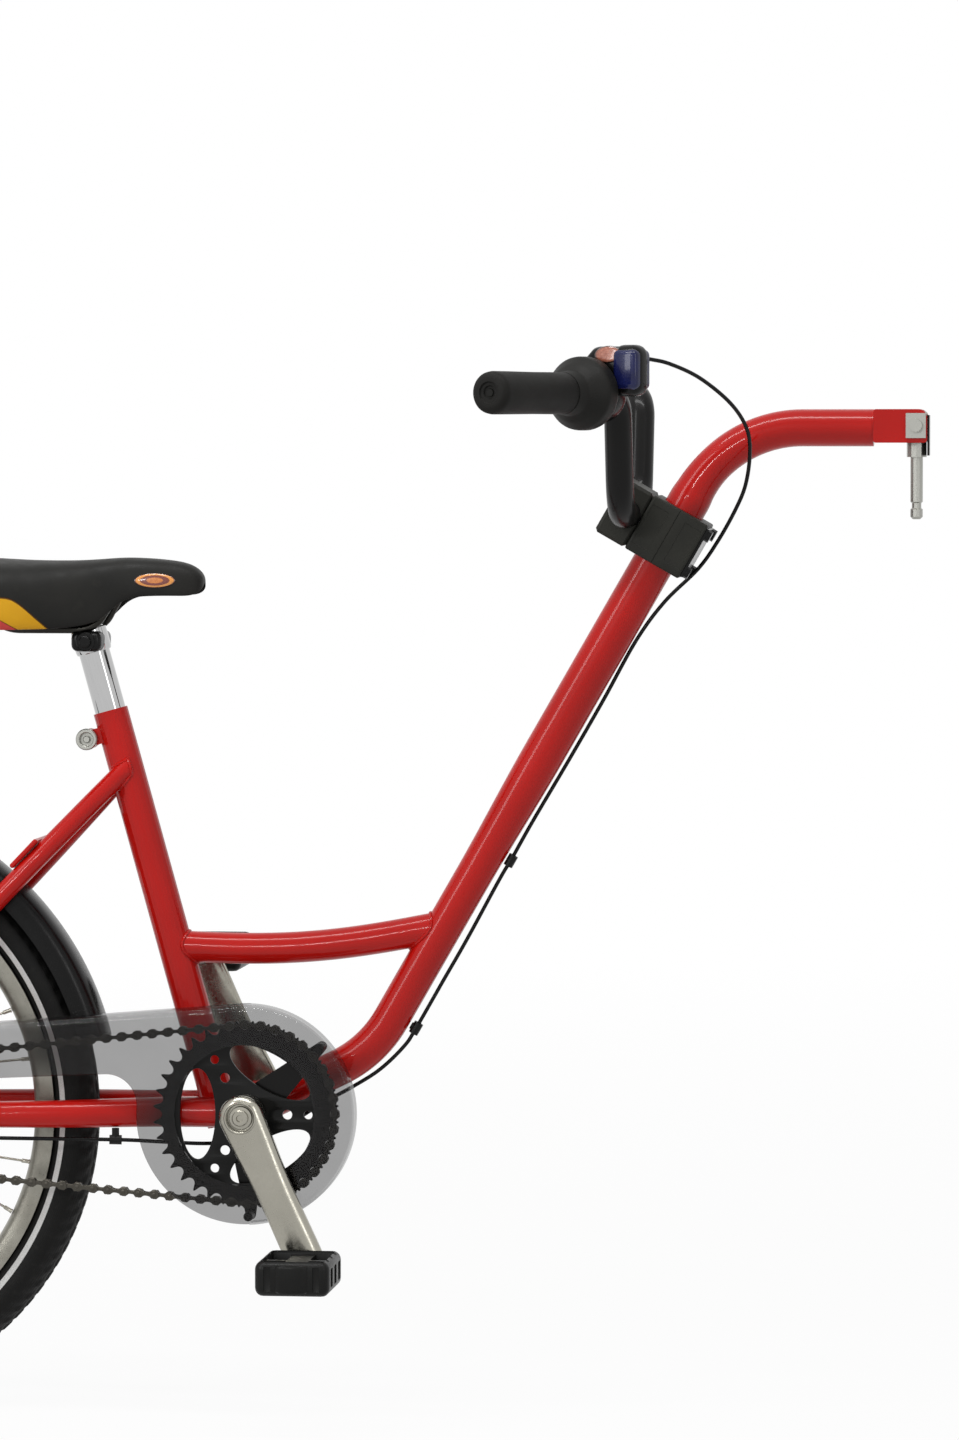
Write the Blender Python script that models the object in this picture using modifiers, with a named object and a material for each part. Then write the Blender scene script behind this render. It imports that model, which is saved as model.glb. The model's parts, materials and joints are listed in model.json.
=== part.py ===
"""Child's trailer bike: one wheel, cranks, saddle and handlebar behind a drawbar with a rack hitch.

Frame of the model: metres, +Z up, +X forward, -Y the bike's right-hand side.
The origin is on the king pin's axis, in the plane where its collar rests on the rack.
"""

from math import acos, asin, atan2, cos, degrees, pi, radians, sin, sqrt, tan

import bmesh
import bpy
from mathutils import Matrix, Vector
from mathutils.geometry import convex_hull_2d

# Driving dimensions
gap = 0.0003
hair = 0.00005

drawbar_diameter = 0.030
drawbar_swell = 0.034
drawbar_slope = radians(60.1)
drawbar_bend = 0.100
drawbar_height = 0.0235
drawbar_end = 0.0345
upper_corner = 0.1496
lower_run = 0.586
taper_start = 0.302
taper_length = 0.122

lower_tail_run = 0.1088871
lower_tail_slope = radians(26.09695)
bracket_diameter = 0.040
bracket_bore = 0.034
bracket_width = 0.068
cup_flange = 0.0028
cup_flange_spread = 0.002
cup_depth = 0.014

seat_tube_diameter = 0.0286
seat_tube_lean = radians(15.5)
seat_tube_setback = 0.0268
seat_tube_length = 0.345
seat_tube_tail = 0.006
post_diameter = 0.0254
post_clearance = 0.0002
clamp_bolt_diameter = 0.006
post_slot_width = 0.003
post_slot_length = 0.034
ear_drop = 0.0178
ear_reach = 0.0230
ear_diameter = 0.0165
ear_spread = 0.009

brace_diameter = 0.0254
brace_height = 0.1454
brace_start_angle = radians(-3.0)
brace_end_angle = radians(12.0)
brace_join = 0.467
brace_handle = 0.40

chainstay_root_diameter = 0.0250
chainstay_end_diameter = 0.0170
chainstay_root_spread = 0.0290
chainstay_end_spread = 0.0612
seatstay_diameter = 0.0160
seatstay_drop = 0.050
seatstay_root_spread = 0.0100
seatstay_wide_share = 0.30
seatstay_wide_spread = 0.0365
bridge_beyond_mudguard = 0.0245
bridge_length = 0.031
bridge_thickness = 0.004
dropout_thickness = 0.005
hub_width = 0.118

tyre_height = 0.035
tyre_width = 0.047
rim_edge_diameter = 0.420
rim_hook_height = 0.007
rim_depth = 0.0115
rim_seat_diameter = rim_edge_diameter - 2 * rim_hook_height
rim_inner_diameter = rim_seat_diameter - 2 * rim_depth
rim_width = 0.0270
wheel_diameter = rim_edge_diameter + 2 * tyre_height
spoke_count = 28
spoke_diameter = 0.0022
flange_diameter = 0.058
flange_spacing = 0.058
hub_diameter = 0.042
axle_diameter = 0.0095
axle_length = 0.152
coaster_arm_line = 0.0450
coaster_arm_length = 0.135
coaster_arm_fall = 0.0200
wheel_steps = 36
axle_nut_diameter = 0.0195
nut_height = 0.008
axle_drop = 0.0040
spoke_lace = radians(48)
spoke_rim_offset = 0.003
spoke_elbow_offset = 0.0018
sprocket_collar_diameter = 0.037
sprocket_collar_width = 0.010
sprocket_running_gap = 0.0005

chain_pitch = 0.0127
chain_line = 0.045
roller_diameter = 0.0077
ring_teeth = 36
sprocket_teeth = 18
ring_pins = 19
sprocket_pins = 9
run_links = 30
tooth_thickness = 0.0028
tooth_rise = 0.0031
tooth_seat_clearance = 0.00060
link_inner_width = 0.0035
link_plate = 0.0014
link_height = 0.0080
link_waist = 0.0054

crank_length = 0.130
crank_angle = radians(-65.5)
crank_face = 0.0790
crank_thickness = 0.0120
crank_boss_diameter = 0.036
crank_eye_diameter = 0.030
crank_spigot_diameter = 0.0240
crank_shoulder_diameter = 0.0330
spigot_end = 0.0420
spindle_diameter = 0.017
square_diameter = 0.0135
window_centre = 0.0395
window_length = 0.074
window_height = 0.029
arm_hole_inner = 0.034
arm_hole_outer = 0.051
arm_hole_diameter = 0.008

pedal_width = 0.080
pedal_length = 0.060
pedal_height = 0.0285
pedal_wall = 0.0045
pedal_axle_diameter = 0.012
pedal_barrel_diameter = 0.018
pedal_gap = 0.007

guard_line = 0.0545
guard_thickness = 0.0020
guard_radius = 0.0895
guard_opening_radius = 0.0570
guard_skirt = 0.0190
guard_tail_radius = 0.0220
guard_tail_ahead = 0.1200
guard_tail_rise = 0.0507
guard_lower_slope = radians(2.7)
guard_neck_radius = 0.024
guard_edge = 0.0015
guard_lip = 0.0006
bracket_plate_thickness = 0.0020
bracket_post_radius = 0.0042
bracket_post_reach = 0.0825
bracket_plate_radius = 0.0185
bracket_arm_angles = (radians(-88), radians(42))

mudguard_beyond_tyre = 0.0165
mudguard_skirt_overlap = 0.005
mudguard_radius = wheel_diameter / 2 + mudguard_beyond_tyre
mudguard_skirt_radius = wheel_diameter / 2 - mudguard_skirt_overlap
bridge_radius = mudguard_radius + bridge_beyond_mudguard
mudguard_half_width = 0.0272
mudguard_thickness = 0.0018
mudguard_front_angle = radians(4.0)
mudguard_rear_angle = radians(166)
mudguard_tab_width = 0.016
mudguard_tab_thickness = 0.003
bridge_screw_diameter = 0.005

clamp_reach = 0.0430
clamp_length = 0.049
clamp_width = 0.062
clamp_front = 0.0253
clamp_middle = 0.0247
clamp_rear = 0.0280
clamp_bolt_rise = 0.0170
clamp_bolt_spread = 0.0235
clamp_screw_diameter = 0.0060
clamp_screw_head = 0.0045
clamp_plate = 0.0020
clamp_throat = 0.0080
clamp_edge = 0.0025
bar_offset = 0.0367
bar_diameter = 0.0222
bar_corner_spread = 0.085
bar_top_spread = 0.112
bar_rise = 0.0960
bar_end_spread = 0.281
bar_end_sweep = 0.082
bar_lower_bend = 0.040
bar_upper_bend = 0.025
grip_diameter = 0.0315
grip_length = 0.104
left_grip_length = 0.128
twist_diameter = 0.058
twist_length = 0.040
housing_diameter = 0.046
housing_length = 0.022
grip_clearance = 0.0003
display_box = (0.038, 0.0215, 0.035)
display_ahead = 0.0156
display_rise = 0.0215
adjuster_diameter = 0.009

pitch_height = 0.0253
head_height = 0.0270
head_width = 0.0350
head_front = 0.0090
cheek_thickness = 0.0045
slot_back = 0.0190
pivot_screw_diameter = 0.0065
pivot_screw_head = 0.0045
washer_size = 0.0200
washer_thickness = 0.0020
plate_width = 0.018
plate_thickness = 0.0016
plate_low = 0.0012
pin_head_height = 0.0040
yoke_height = 0.0205
yoke_front = 0.0085
yoke_back = 0.0110
pin_diameter = 0.0100
pin_shank_diameter = 0.0110
pin_head_diameter = 0.0170
pin_collar_diameter = 0.0160
pin_collar_height = 0.0118
pin_length = 0.0500

exposed_post = 0.071
inserted_post = 0.110
post_wall = 0.0020
post_plug = 0.030
clamp_drop = 0.012
clamp_core_wall = 0.003
clamp_core_height = 0.020
cheek_width = 0.0120
cheek_radius = 0.0085
saddle_bolt_diameter = 0.008
saddle_bolt_head = 0.013
saddle_length = 0.250
saddle_width = 0.155
saddle_nose_width = 0.044
saddle_nose_reach = 0.095
rail_diameter = 0.0070
rail_spread = 0.022
rail_rise = 0.0100
base_thickness = 0.003
saddle_top_rise = 0.0662553
saddle_nose_rise = 0.0377553
saddle_shelf_rise = 0.0489553

cable_diameter = 0.0045
guide_diameter = 0.0078
guide_length = 0.010
guide_web = 0.003
shift_box_diameter = 0.024
shift_box_length = 0.020

# Places that the shift cable's axis passes, from the shifter to the first guide and on to the hub
cable_loop_route = (
    (-0.2043, -0.148, 0.0776),
    (-0.1886, -0.134, 0.0738),
    (-0.1665, -0.110, 0.0627),
    (-0.1441, -0.084, 0.0429),
    (-0.1327, -0.062, 0.0228),
    (-0.1314, -0.045, 0.0026),
    (-0.1356, -0.032, -0.0218),
    (-0.1444, -0.022, -0.0421),
    (-0.1595, -0.012, -0.0680),
    (-0.1760, -0.005, -0.0905),
    (-0.2034, 0.000, -0.1172),
    (-0.2263, 0.000, -0.1484),
    (-0.2532, 0.000, -0.1973),
    (-0.2813, 0.000, -0.2462),
    (-0.3102, 0.000, -0.2952),
    (-0.3281, 0.000, -0.3272),
)
cable_run_route = (
    (-0.3284, 0.000, -0.3278),
    (-0.3376, 0.000, -0.3431),
    (-0.3641, 0.000, -0.3920),
    (-0.3837, 0.000, -0.4262),
    (-0.4060, 0.000, -0.4652),
    (-0.4158, 0.000, -0.4800),
    (-0.4354, 0.000, -0.4990),
    (-0.4582, 0.000, -0.5137),
    (-0.4850, 0.000, -0.5285),
    (-0.5150, -0.004, -0.5475),
    (-0.5395, -0.013, -0.5568),
    (-0.5734, -0.028, -0.5585),
    (-0.6120, -0.037, -0.5565),
    (-0.6471, -0.042, -0.5548),
    (-0.7500, -0.0560, -0.5530),
    (-0.8300, -0.0640, -0.5510),
    (-0.8730, -0.0745, -0.5450),
    (-0.8985, -0.0820, -0.5390),
)

# Colours as they show on the object: base colour, metallic and roughness
finishes = {
    "paint": ((0.42, 0.012, 0.012), 0.0, 0.22),
    "chrome": ((0.75, 0.75, 0.76), 1.0, 0.10),
    "steel": ((0.42, 0.42, 0.42), 1.0, 0.35),
    "alloy": ((0.62, 0.61, 0.58), 1.0, 0.28),
    "black": ((0.012, 0.012, 0.012), 0.0, 0.35),
    "black_metal": ((0.02, 0.02, 0.02), 0.4, 0.35),
    "rubber": ((0.018, 0.018, 0.017), 0.0, 0.75),
    "smoke": ((0.20, 0.18, 0.18), 0.0, 0.15),
    "saddle": ((0.020, 0.020, 0.020), 0.0, 0.60),
}

# Directions and places that follow from the sizes
drawbar_along = Vector((cos(drawbar_slope), 0, sin(drawbar_slope)))
drawbar_back = Vector((-sin(drawbar_slope), 0, cos(drawbar_slope)))
seat_up = Vector((-sin(seat_tube_lean), 0, cos(seat_tube_lean)))
seat_back = Vector((-cos(seat_tube_lean), 0, -sin(seat_tube_lean)))
upper_point = Vector((-upper_corner, 0, drawbar_height))
lower_point = upper_point - lower_run * drawbar_along
bracket_centre = lower_point - lower_tail_run * Vector((cos(lower_tail_slope), 0, sin(lower_tail_slope)))
seat_foot = bracket_centre + seat_tube_setback * seat_back
seat_top = seat_foot + seat_tube_length * seat_up
clamp_centre = upper_point - (drawbar_bend * tan(drawbar_slope / 2) + clamp_reach) * drawbar_along
bar_centre = clamp_centre + bar_offset * drawbar_back
ring_radius = chain_pitch / (2 * sin(pi / ring_teeth))
sprocket_radius = chain_pitch / (2 * sin(pi / sprocket_teeth))
ring_wrap = (ring_pins - 1) * pi / ring_teeth
sprocket_wrap = (sprocket_pins - 1) * pi / sprocket_teeth
run_fall = ring_radius * sin(ring_wrap) - sprocket_radius * sin(sprocket_wrap)
run_reach = sqrt((run_links * chain_pitch) ** 2 - run_fall**2)
centre_distance = run_reach + ring_radius * cos(ring_wrap) - sprocket_radius * cos(sprocket_wrap)
centre_tilt = asin(axle_drop / centre_distance)
axle_centre = bracket_centre + centre_distance * Vector((-cos(centre_tilt), 0, -sin(centre_tilt)))
dropout_inner = hub_width / 2
seatstay_line = seat_top - seatstay_drop * seat_up - axle_centre
seatstay_slope = atan2(seatstay_line.z, seatstay_line.x)
seatstay_along = seatstay_line.normalized()
seatstay_normal = Vector((-sin(seatstay_slope), 0, cos(seatstay_slope)))
tilt_centre = seat_top + (exposed_post - clamp_drop) * seat_up
saddle_top = tilt_centre.z + saddle_top_rise
saddle_nose_under = tilt_centre.z + saddle_nose_rise
saddle_shelf = tilt_centre.z + saddle_shelf_rise
guard_tail = axle_centre + guard_tail_ahead * Vector((1, 0, 0)) + guard_tail_rise * Vector((0, 0, 1))
right, left = -1, 1
side_name = {right: "right", left: "left"}
Y = Vector((0, 1, 0))
Z = Vector((0, 0, 1))


def clear_scene():
    for thing in list(bpy.data.objects):
        bpy.data.objects.remove(thing, do_unlink=True)
    for group in list(bpy.data.collections):
        bpy.data.collections.remove(group)


def new_collection(name):
    group = bpy.data.collections.new(name)
    bpy.context.scene.collection.children.link(group)
    return group


clear_scene()
parts = new_collection("trailer_bike")
cutters = new_collection("cutters")


def finish(thing, kind):
    colour, metallic, roughness = finishes[kind]
    surface = bpy.data.materials.new(f"{thing.name}_{kind}")
    surface.use_nodes = True
    shader = surface.node_tree.nodes["Principled BSDF"]
    shader.inputs["Base Color"].default_value = (*colour, 1)
    shader.inputs["Metallic"].default_value = metallic
    shader.inputs["Roughness"].default_value = roughness
    thing.data.materials.clear()
    thing.data.materials.append(surface)


def keep(thing, kind, parent=None):
    """Puts a sub-part placed in the world in the object's collection, under its joint's empty if any."""
    parts.objects.link(thing)
    finish(thing, kind)
    if parent:
        thing.parent = parent
        thing.location = Vector(thing.location) - world_place(parent)
    return thing


def tool(thing):
    """Puts a solid that only cuts or joins another one among the cutters."""
    cutters.objects.link(thing)
    thing.hide_render = True
    thing.display_type = "WIRE"
    return thing


def pivot(name, location, parent=None):
    """An empty on a joint's axis, which carries the pieces that the joint moves."""
    empty = bpy.data.objects.new(name, None)
    empty.empty_display_size = 0.02
    empty.location = location
    parts.objects.link(empty)
    if parent:
        empty.parent = parent
        empty.location = Vector(location) - world_place(parent)
    return empty


def world_place(thing):
    place = Vector(thing.location)
    while thing.parent:
        thing = thing.parent
        place += thing.location
    return place


def aim(thing, location, direction=Z, spin=0.0):
    """Places a thing with its local Z along a direction and its local X spun about it."""
    turn = Vector(direction).to_track_quat("Z", "Y").to_matrix()
    thing.rotation_euler = (turn @ Matrix.Rotation(spin, 3, "Z")).to_euler()
    thing.location = location
    return thing


def smooth(mesh, angle=35):
    mesh.shade_smooth()
    mesh.set_sharp_from_angle(angle=radians(angle))


def mesh_object(name, builder, angle=35):
    mesh = bpy.data.meshes.new(name)
    shape = bmesh.new()
    builder(shape)
    bmesh.ops.recalc_face_normals(shape, faces=shape.faces)
    shape.to_mesh(mesh)
    shape.free()
    smooth(mesh, angle)
    return bpy.data.objects.new(name, mesh)


def drum(name, radius, length, sides=24, end_radius=None, middle=0.0):
    """A cylinder or cone along local Z, centred on middle."""

    def build(shape):
        bmesh.ops.create_cone(
            shape,
            cap_ends=True,
            segments=sides,
            radius1=radius,
            radius2=radius if end_radius is None else end_radius,
            depth=length,
            matrix=Matrix.Translation((0, 0, middle)),
        )

    return mesh_object(name, build)


def block(name, size, centre=(0, 0, 0), edge=0.0, segments=2):
    def build(shape):
        place = Matrix.Translation(centre) @ Matrix.Diagonal((*size, 1))
        bmesh.ops.create_cube(shape, size=1, matrix=place)

    thing = mesh_object(name, build)
    if edge:
        round_edges(thing, edge, segments)
    return thing


def round_edges(thing, width, segments=2, angle=40):
    bevel = thing.modifiers.new("rounded", "BEVEL")
    bevel.width = width
    bevel.segments = segments
    bevel.limit_method = "ANGLE"
    bevel.angle_limit = radians(angle)


def turned(name, profile, steps=32, closed=False):
    """A profile of (radius, height) points, top to bottom outside, turned about local Z."""

    def build(shape):
        points = [shape.verts.new((radius, 0, height)) for radius, height in profile]
        for one, two in zip(points, points[1:]):
            shape.edges.new((one, two))
        if closed:
            shape.edges.new((points[-1], points[0]))

    mesh = bpy.data.meshes.new(name)
    shape = bmesh.new()
    build(shape)
    shape.to_mesh(mesh)
    shape.free()
    thing = bpy.data.objects.new(name, mesh)
    screw = thing.modifiers.new("turned", "SCREW")
    screw.axis = "Z"
    screw.steps = steps
    screw.render_steps = steps
    screw.use_merge_vertices = True
    screw.merge_threshold = 0.00001
    screw.use_smooth_shade = True
    return thing


def outline(name, loops, thickness):
    """A flat outline in local XY, with holes as further loops, and half its thickness each way."""
    curve = bpy.data.curves.new(name, "CURVE")
    curve.dimensions = "2D"
    curve.fill_mode = "BOTH"
    curve.extrude = thickness / 2
    for points in loops:
        spline = curve.splines.new("POLY")
        spline.points.add(len(points) - 1)
        for spot, (x, y) in zip(spline.points, points):
            spot.co = (x, y, 0, 1)
        spline.use_cyclic_u = True
    return bpy.data.objects.new(name, curve)


def tube(name, points, diameter, sides=16, widths=None, closed=False):
    """A bar swept along points; widths scale its diameter at each point."""
    curve = bpy.data.curves.new(name, "CURVE")
    curve.dimensions = "3D"
    curve.bevel_depth = diameter / 2
    curve.bevel_resolution = sides // 2 - 2
    curve.use_fill_caps = True
    spline = curve.splines.new("POLY")
    spline.points.add(len(points) - 1)
    for index, (spot, place) in enumerate(zip(spline.points, points)):
        spot.co = (*place, 1)
        spot.radius = widths[index] if widths else 1.0
    spline.use_cyclic_u = closed
    spline.use_smooth = True
    return bpy.data.objects.new(name, curve)


def as_mesh(thing, angle=35):
    """Turns a curve into a mesh with welded caps, so that it can be cut or joined."""
    bpy.context.scene.collection.objects.link(thing)
    bpy.context.view_layer.update()
    graph = bpy.context.evaluated_depsgraph_get()
    mesh = bpy.data.meshes.new_from_object(thing.evaluated_get(graph))
    shape = bmesh.new()
    shape.from_mesh(mesh)
    bmesh.ops.remove_doubles(shape, verts=shape.verts, dist=0.00001)
    if thing.data.extrude:
        bmesh.ops.dissolve_limit(shape, angle_limit=radians(0.5), verts=shape.verts, edges=shape.edges)
    shape.to_mesh(mesh)
    shape.free()
    smooth(mesh, angle)
    name, place = thing.name, thing.matrix_world.copy()
    bpy.data.objects.remove(thing, do_unlink=True)
    solid = bpy.data.objects.new(name, mesh)
    mesh.name = name
    solid.matrix_world = place
    return solid


def combine(thing, other, operation):
    """Cuts or joins another solid, whose place is in the same frame as the thing's place."""
    boolean = thing.modifiers.new(f"{operation.lower()}_{other.name}", "BOOLEAN")
    boolean.operation = operation
    boolean.solver = "EXACT"
    boolean.object = other
    if not other.users_collection:
        tool(other)
    return thing


def cut(thing, *others):
    for other in others:
        combine(thing, other, "DIFFERENCE")
    return thing


def weld(thing, *others):
    for other in others:
        combine(thing, other, "UNION")
    return thing


def corner_arc(before, corner, after, radius, steps=8):
    """The points of an arc that rounds one corner of a path."""
    corner = Vector(corner)
    back = (Vector(before) - corner).normalized()
    on = (Vector(after) - corner).normalized()
    half = back.angle(on) / 2
    reach = radius / tan(half)
    middle = corner + (back + on).normalized() * radius / sin(half)
    start = corner + back * reach - middle
    end = corner + on * reach - middle
    span = start.angle(end)
    shares = [step / steps for step in range(steps + 1)]
    return [
        middle + (sin((1 - share) * span) * start + sin(share * span) * end) / sin(span) for share in shares
    ]


def filleted(corners, radii, steps=8):
    """The points of a path whose inner corners are rounded with arcs."""
    points = [Vector(corners[0])]
    for before, corner, after, radius in zip(corners, corners[1:], corners[2:], radii):
        points += corner_arc(before, corner, after, radius, steps)
    return [*points, Vector(corners[-1])]


def blended(points, steps):
    """Points of a smooth curve through a route's own points."""
    route = [Vector(point) for point in points]
    route = [2 * route[0] - route[1], *route, 2 * route[-1] - route[-2]]
    smooth_points = []
    for a, b, c, d in zip(route, route[1:], route[2:], route[3:]):
        for step in range(steps):
            t = step / steps
            smooth_points.append(
                0.5 * (2 * b + (c - a) * t + (2 * a - 5 * b + 4 * c - d) * t**2 + (3 * b - a - 3 * c + d) * t**3)
            )
    smooth_points.append(route[-2])
    return smooth_points


def circle(radius, count, centre=(0, 0), start=0.0, sweep=2 * pi):
    """Points round a circle, or along an arc with both its ends."""
    last = count if sweep >= 2 * pi else count - 1
    return [
        (centre[0] + radius * cos(start + sweep * k / last), centre[1] + radius * sin(start + sweep * k / last))
        for k in range(count)
    ]


def rounded_hull(circles, count=12):
    """The outline round several circles, each given as (centre, radius)."""
    points = [Vector(spot) for centre, radius in circles for spot in circle(radius, count, centre)]
    return [tuple(points[index]) for index in convex_hull_2d(points)]


def flat_in_side_view(thing, across):
    """Places an outline drawn with X forward and Y up at a distance across the bike."""
    thing.rotation_euler = (pi / 2, 0, 0)
    thing.location = (0, across, 0)
    return thing


def side_spot(place):
    """A place's two coordinates in the side view."""
    return (place.x, place.z)


# The frame
def drawbar_path():
    """The drawbar's centre line from the hitch to the bottom bracket, with its diameter at each point."""
    front = Vector((-drawbar_end, 0, drawbar_height))
    upper = corner_arc(front, upper_point, lower_point, drawbar_bend, 6)
    lower = corner_arc(upper_point, lower_point, bracket_centre, drawbar_bend, 3)
    slim, full = drawbar_diameter, drawbar_swell
    path = [(front, slim)] + [(spot, slim) for spot in upper[:-1]]
    path.append((upper[-1], (slim + full) / 2))
    path.append((upper[-1] - 0.010 * drawbar_along, full))
    steps = 3
    for step in range(steps + 1):
        share = step / steps
        spot = upper_point - (taper_start + share * taper_length) * drawbar_along
        path.append((spot, full + (slim - full) * (1 - cos(pi * share)) / 2))
    path += [(spot, slim) for spot in lower]
    path.append((bracket_centre, slim))
    return path


def across_drum(name, radius, width, centre, sides=32):
    """A cylinder whose axis runs across the bike."""
    return aim(drum(name, radius, width, sides), centre, Y)


def make_drawbar():
    path = drawbar_path()
    points = [spot for spot, size in path]
    widths = [size / drawbar_diameter for spot, size in path]
    bar = as_mesh(tube("drawbar", points, drawbar_diameter, 14, widths))
    shell = across_drum("drawbar_cope", bracket_diameter / 2 + gap, 2 * bracket_width, bracket_centre)
    keep(cut(bar, shell), "paint")


def make_seat_tube():
    length = seat_tube_length + seat_tube_tail
    middle = (seat_tube_length - seat_tube_tail) / 2
    column = aim(drum("seat_tube", seat_tube_diameter / 2, length, 24), seat_foot + middle * seat_up, seat_up)
    ear_centre = seat_top - ear_drop * seat_up + ear_reach * seat_back
    ears = across_drum("ear_barrel", ear_diameter / 2, 2 * ear_spread, ear_centre, 14)
    web_length = ear_reach - seat_tube_diameter / 4
    web = block("ear_web", (web_length, 2 * ear_spread, ear_diameter * 0.8))
    aim(web, ear_centre - web_length / 2 * seat_back, seat_up)
    web.rotation_euler = (0, -seat_tube_lean, 0)
    bore_radius = post_diameter / 2 + post_clearance
    bore = drum("post_bore", bore_radius, 2 * length, 24)
    aim(bore, seat_foot + middle * seat_up, seat_up)
    slot_reach = ear_reach + ear_diameter
    slot = block("post_slot", (slot_reach, post_slot_width, 2 * post_slot_length))
    slot.location = seat_top + slot_reach / 2 * seat_back
    slot.rotation_euler = (0, -seat_tube_lean, 0)
    hole = across_drum("ear_hole", clamp_bolt_diameter / 2 + gap, 4 * ear_spread, ear_centre, 12)
    shell = across_drum("seat_tube_cope", bracket_diameter / 2 + gap, 2 * bracket_width, bracket_centre)
    weld(column, ears, web)
    keep(cut(column, bore, slot, hole, shell), "paint")

    # The clamp bolt turns in the ears, its head on the right
    shank = 2 * ear_spread + 2 * gap
    profile = [
        (0, shank / 2 + 0.0065),
        (0.0070, shank / 2 + 0.0065),
        (0.0070, shank / 2),
        (clamp_bolt_diameter / 2, shank / 2),
        (clamp_bolt_diameter / 2, -shank / 2),
        (0.0062, -shank / 2),
        (0.0062, -shank / 2 - 0.0055),
        (0, -shank / 2 - 0.0055),
    ]
    bolt = aim(turned("seat_clamp_bolt", profile, 14), ear_centre, -Y)
    socket = drum("bolt_socket", 0.0030, 0.008, 6)
    aim(socket, ear_centre - (shank / 2 + 0.0065) * Y, Y)
    keep(cut(bolt, socket), "steel")


def make_brace():
    start = seat_foot + brace_height * seat_up
    end = upper_point - brace_join * drawbar_along
    reach = brace_handle * (end - start).length
    one = start + reach * Vector((cos(brace_start_angle), 0, sin(brace_start_angle)))
    two = end - reach * Vector((cos(brace_end_angle), 0, sin(brace_end_angle)))
    steps = 8
    points = []
    for step in range(steps + 1):
        t = step / steps
        points.append(
            (1 - t) ** 3 * start + 3 * (1 - t) ** 2 * t * one + 3 * (1 - t) * t**2 * two + t**3 * end
        )
    brace = as_mesh(tube("brace_tube", points, brace_diameter, 14))
    rear = aim(drum("brace_rear_cope", seat_tube_diameter / 2 + gap, 0.2, 24), start, seat_up)
    front = aim(drum("brace_front_cope", drawbar_diameter / 2 + gap, 0.2, 20), end, drawbar_along)
    keep(cut(brace, rear, front), "paint")


def make_bottom_bracket():
    half = bracket_width / 2
    outer, inner = bracket_diameter / 2, bracket_bore / 2
    shell = turned("bottom_bracket_shell", [(outer, half), (outer, -half), (inner, -half), (inner, half)], 24, True)
    keep(aim(shell, bracket_centre, Y), "paint")
    for side in (right, left):
        profile = [
            (bracket_bore / 2 + cup_flange_spread, cup_flange),
            (bracket_bore / 2 + cup_flange_spread, gap),
            (bracket_bore / 2 - gap, gap),
            (bracket_bore / 2 - gap, -cup_depth),
            (spindle_diameter / 2 + gap, -cup_depth),
            (spindle_diameter / 2 + gap, cup_flange),
        ]
        cup = turned(f"bearing_cup_{side_name[side]}", profile, 16, True)
        keep(aim(cup, bracket_centre + side * half * Y, side * Y), "steel")


def dropout_outline(grow=0.0):
    spot = side_spot(axle_centre)
    ahead = (spot[0] + 0.034, spot[1])
    above = (spot[0] + 0.030 * cos(seatstay_slope), spot[1] + 0.030 * sin(seatstay_slope))
    return rounded_hull([(spot, 0.0150 + grow), (ahead, 0.0075 + grow), (above, 0.0070 + grow)], 14)


def seatstay_path(side):
    """A straight line in the side view that spreads round the tyre."""
    top = seat_top - seatstay_drop * seat_up
    end = axle_centre + 0.019 * seatstay_along
    spreads = [
        (0.0, seatstay_root_spread),
        (0.12, (seatstay_root_spread + seatstay_wide_spread) / 2),
        (seatstay_wide_share, seatstay_wide_spread),
        (0.65, (seatstay_wide_spread + chainstay_end_spread) / 2),
        (1.0, chainstay_end_spread),
    ]
    return [top.lerp(end, share) + side * spread * Y for share, spread in spreads]


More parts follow.
